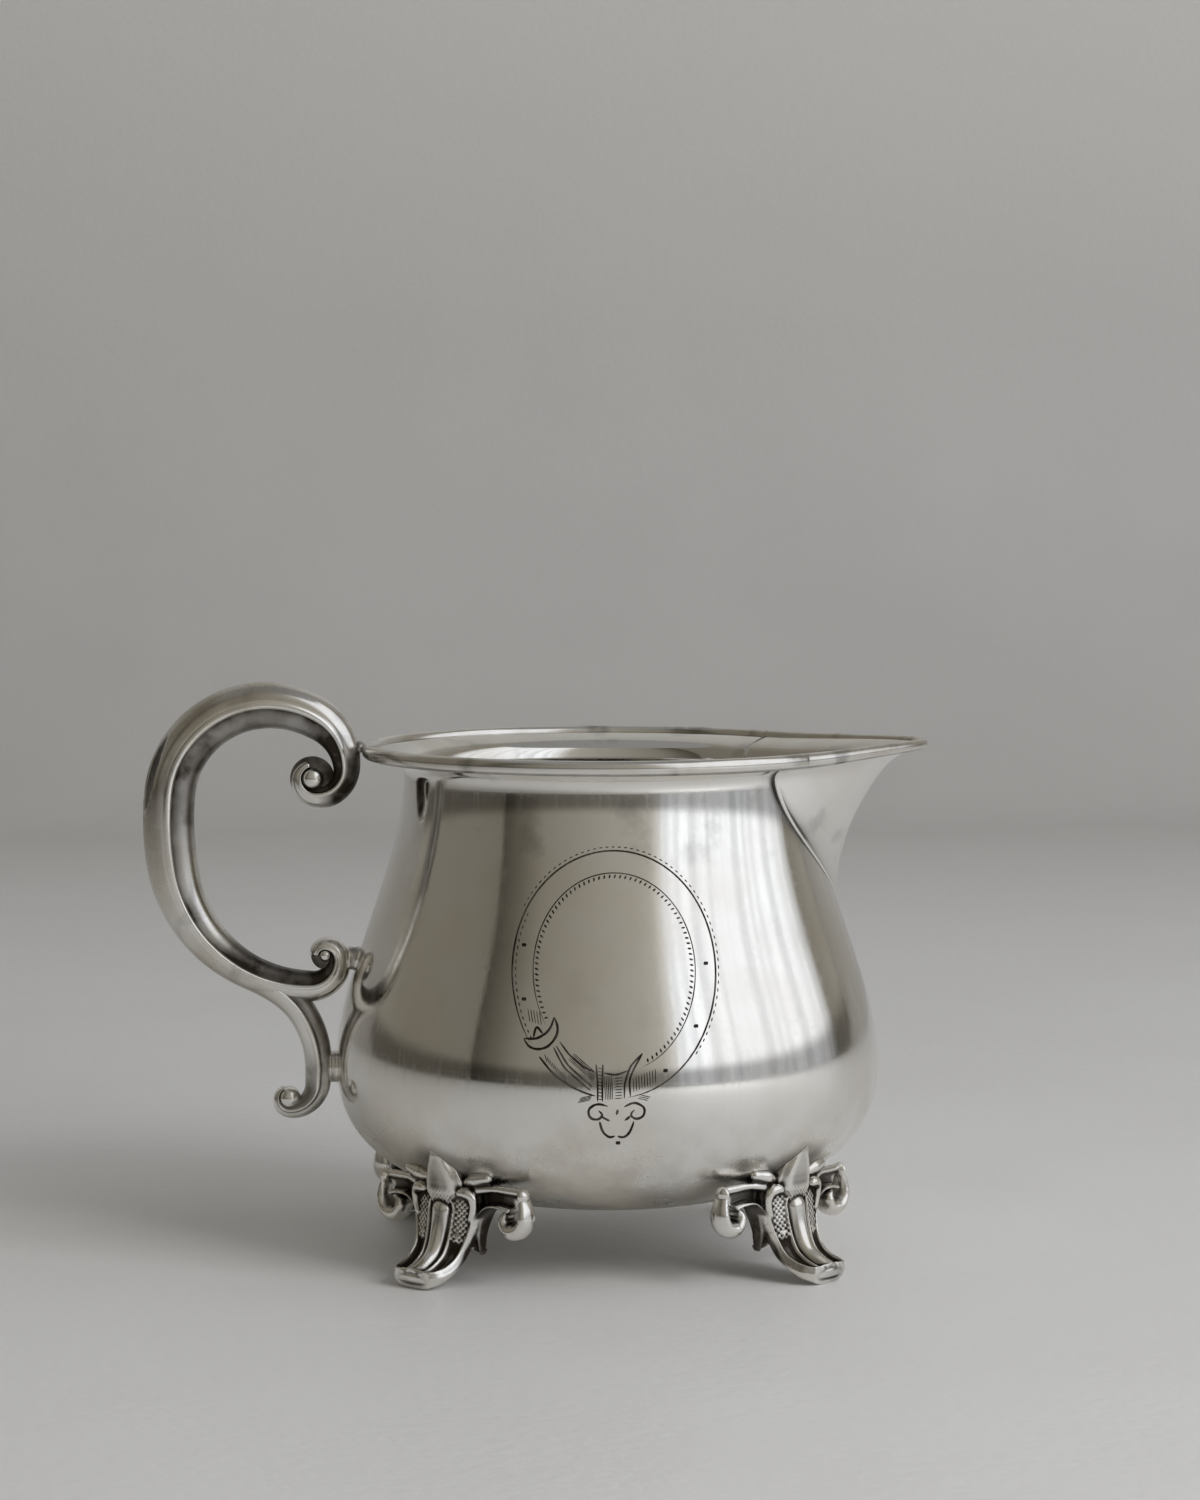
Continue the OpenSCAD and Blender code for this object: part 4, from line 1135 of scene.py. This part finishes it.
room = dict(
    floorTone=rgb(0.79, 0.79, 0.79),
    # painted shade: darker where the floor meets the wall
    wallFootShade=rgb(0.6, 0.59, 0.575),
    wallTone=rgb(0.82, 0.81, 0.775),
    wallShade=rgb(0.5, 0.48, 0.44),
    cloudTone=rgb(0.7, 0.69, 0.67),
    cloudScale=14.0,
    speckScale=400.0,
    wallStart=(0.3, 0.8),  # metres beyond the jug
    wallClimb=(0.05, 0.5),
    shadeSide=(0.35, 0.6),  # the wall is in shade beyond the window
    wallAway=840.0,
    bend=160.0,
    wallHigh=1500.0,
    half=2500.0,
    near=-2500.0,
)


def backdrop():  # floor, a quarter turn, then the wall, drawn out sideways
    a = np.radians(np.linspace(0, 90, 40))
    radius = room["bend"]
    bend = np.stack([room["wallAway"] - radius + radius * np.sin(a), radius * (1 - np.cos(a))], 1)
    line = np.concatenate([[(room["near"], 0)], bend, [(room["wallAway"], room["wallHigh"])]])
    x = np.array([-room["half"], room["half"]])[None, :]
    points = np.stack(np.broadcast_arrays(x, line[:, :1], line[:, 1:]), -1)
    points = points.reshape(-1, 3) * mm
    mesh = newMesh("backdrop", points, gridQuads(len(line), 2)[:, ::-1], np.zeros(len(points)))
    mesh.shade_smooth()
    return mesh


plaster, shop = newMaterial("paleFloor")
place = shop.node("TexCoord", output="Object")
cloud = shop.noise(place, room["cloudScale"], 6.0)
speck = shop.noise(place, room["speckScale"], 4.0)
sideways, away, high = [shop.node("SeparateXYZ", None, {0: place}, axis) for axis in "XYZ"]
# painted shade: the far floor and the foot of the wall darker, as in the corner between them
tone = shop.blend(shop.between(away, *room["wallStart"]), room["floorTone"], room["wallFootShade"])
tone = shop.blend(shop.between(high, *room["wallClimb"]), tone, room["wallTone"])
aside = shop.between(sideways, *room["shadeSide"]) * shop.between(high, 0.0, 0.03)
tone = shop.blend(aside, tone, room["wallShade"])
tone = shop.blend(shop.between(cloud, 0.3, 0.7) * 0.25, tone, room["cloudTone"])
bump = shop.node("Bump", None, {"Strength": 0.5, "Distance": 0.0005, "Height": cloud * 2.0 + speck * 0.5})
surface = shop.node("BsdfPrincipled", None, {"Base Color": tone, "Roughness": 0.45, "Normal": bump})
shop.node("OutputMaterial", None, {0: surface})
floorMesh = backdrop()
floorMesh.materials.append(plaster)
floorPiece = bpy.data.objects.new("backdrop", floorMesh)
scene.collection.objects.link(floorPiece)


def warmGrey(level, warmth):  # a level with red raised by the warmth and blue lowered by twice as much
    return rgb(level * (1 + warmth), level, level * (1 - 2 * warmth))


# Light round the room by bearing in degrees, 0 behind the camera and 90 to the right
roomRing = [(-180, 0.30), (-134, 0.24), (-110, 0.18), (-80, 0.17), (-62.5, 0.16), (-62, 0.055), (-50, 0.12)]
roomRing += [(-38, 0.21), (-20, 0.26), (-5, 0.31), (12, 0.36), (20, 0.42), (25, 0.7), (28, 1.2), (88, 1.2)]
roomRing += [(96, 1.1), (106, 0.9), (109, 0.2), (120, 0.27), (160, 0.27), (180, 0.30)]
roomSheet = dict(
    radius=1500.0,
    low=-200.0,
    high=2600.0,
    foldFrom=22.0,  # bearings between which the curtain hangs
    foldTo=110.0,
    sky=0.27,
    sillLow=0.14,  # metres
    sillHigh=0.25,
    sillTone=0.4,  # share of the light that is left under the window
)
around = np.linspace(-np.pi, np.pi, 121)[None, :]
levels = np.array([roomSheet["low"], roomSheet["high"]])[:, None]
sheetPoints = [roomSheet["radius"] * np.sin(around), -roomSheet["radius"] * np.cos(around), levels]
sheetPoints = np.stack(np.broadcast_arrays(*sheetPoints), -1)
glowing, shop = newMaterial("roomLight")
spot = shop.node("TexCoord", output="Object")
spotX, spotY, spotZ = [shop.node("SeparateXYZ", None, {0: spot}, axis) for axis in "XYZ"]
bearing = spotX.math("ARCTAN2", 0 - spotY) * (0.5 / np.pi) + 0.5
warmths = np.interp([level for angle, level in roomRing], [0.1, 0.3, 0.6, 1.0], [0.1, 0.06, 0.03, -0.025])
stops = [((angle + 180) / 360, warmGrey(level, warm)) for (angle, level), warm in zip(roomRing, warmths)]
ring = shop.node("ValToRGB", {"stops": stops}, {0: bearing})
folds = shop.node("TexNoise", {"noise_dimensions": "1D"}, {"W": bearing, "Scale": 70.0, "Detail": 3.0})
foldEnds = [(roomSheet[key] + 180) / 360 for key in ("foldFrom", "foldTo")]
leftEdge = shop.between(bearing, foldEnds[0], foldEnds[0] + 0.01)
inWindow = leftEdge * shop.between(bearing, foldEnds[1], foldEnds[1] - 0.01)
drape = 1 - inWindow * shop.between(folds, 0.6, 0.35, 0.0, 0.28)
drape = drape * shop.between(spotZ, roomSheet["sillLow"], roomSheet["sillHigh"], roomSheet["sillTone"], 1.0)
glow = shop.node("Emission", None, {"Color": ring, "Strength": drape})
shop.node("OutputMaterial", None, {0: glow})
sheetMesh = newMesh("roomLight", sheetPoints.reshape(-1, 3) * mm, gridQuads(2, 121), np.zeros(242))
sheetMesh.materials.append(glowing)
lightSheet = bpy.data.objects.new("roomLight", sheetMesh)
scene.collection.objects.link(lightSheet)
lightSheet.visible_camera = False
scene.world = bpy.data.worlds.new("room")
scene.world.use_nodes = True
shop = Shop(scene.world.node_tree)
sky = shop.node("Background", None, {"Color": warmGrey(roomSheet["sky"], 0.0), "Strength": 1.0})
shop.node("OutputWorld", None, {0: sky})

lamp = dict(place=(560.0, -520.0, 480.0), size=420.0, watts=3.4)  # soft, on the window's side, for the floor
lampData = bpy.data.lights.new("lamp", "AREA")
lampData.energy = lamp["watts"]
lampData.size = lamp["size"] * mm
lampPiece = bpy.data.objects.new("lamp", lampData)
lampPiece.location = np.multiply(lamp["place"], mm)
lampPiece.rotation_euler = Vector(lamp["place"]).to_track_quat("Z", "Y").to_euler()
lampPiece.visible_camera = False
lampPiece.visible_glossy = False  # the silver shows the window instead
scene.collection.objects.link(lampPiece)

view = dict(
    distance=660.0,
    height=127.8,
    pitch=4.35,
    azimuth=4.0,
    axisPixel=7.0,  # the jug's axis lies this far right of the frame's middle
    focalPixels=4283.0,
    frameHigh=1500.0,
)
azimuth = np.radians(view["azimuth"])
yaw = azimuth - np.arctan(view["axisPixel"] / view["focalPixels"])
pitch = np.radians(view["pitch"])
ahead = np.array([np.sin(yaw) * np.cos(pitch), np.cos(yaw) * np.cos(pitch), -np.sin(pitch)])
right = np.array([np.cos(yaw), -np.sin(yaw), 0])
eye = [axisX - view["distance"] * np.sin(azimuth), -view["distance"] * np.cos(azimuth), view["height"]]
lens = bpy.data.cameras.new("camera")
lens.sensor_fit = "VERTICAL"
lens.sensor_height = 36.0
lens.lens = view["focalPixels"] / view["frameHigh"] * lens.sensor_height
camera = bpy.data.objects.new("camera", lens)
turn = np.column_stack([right, np.cross(right, ahead), -ahead, np.multiply(eye, mm)])
camera.matrix_world = Matrix([*turn.tolist(), [0, 0, 0, 1]])
scene.collection.objects.link(camera)
scene.camera = camera
print("room and camera set")
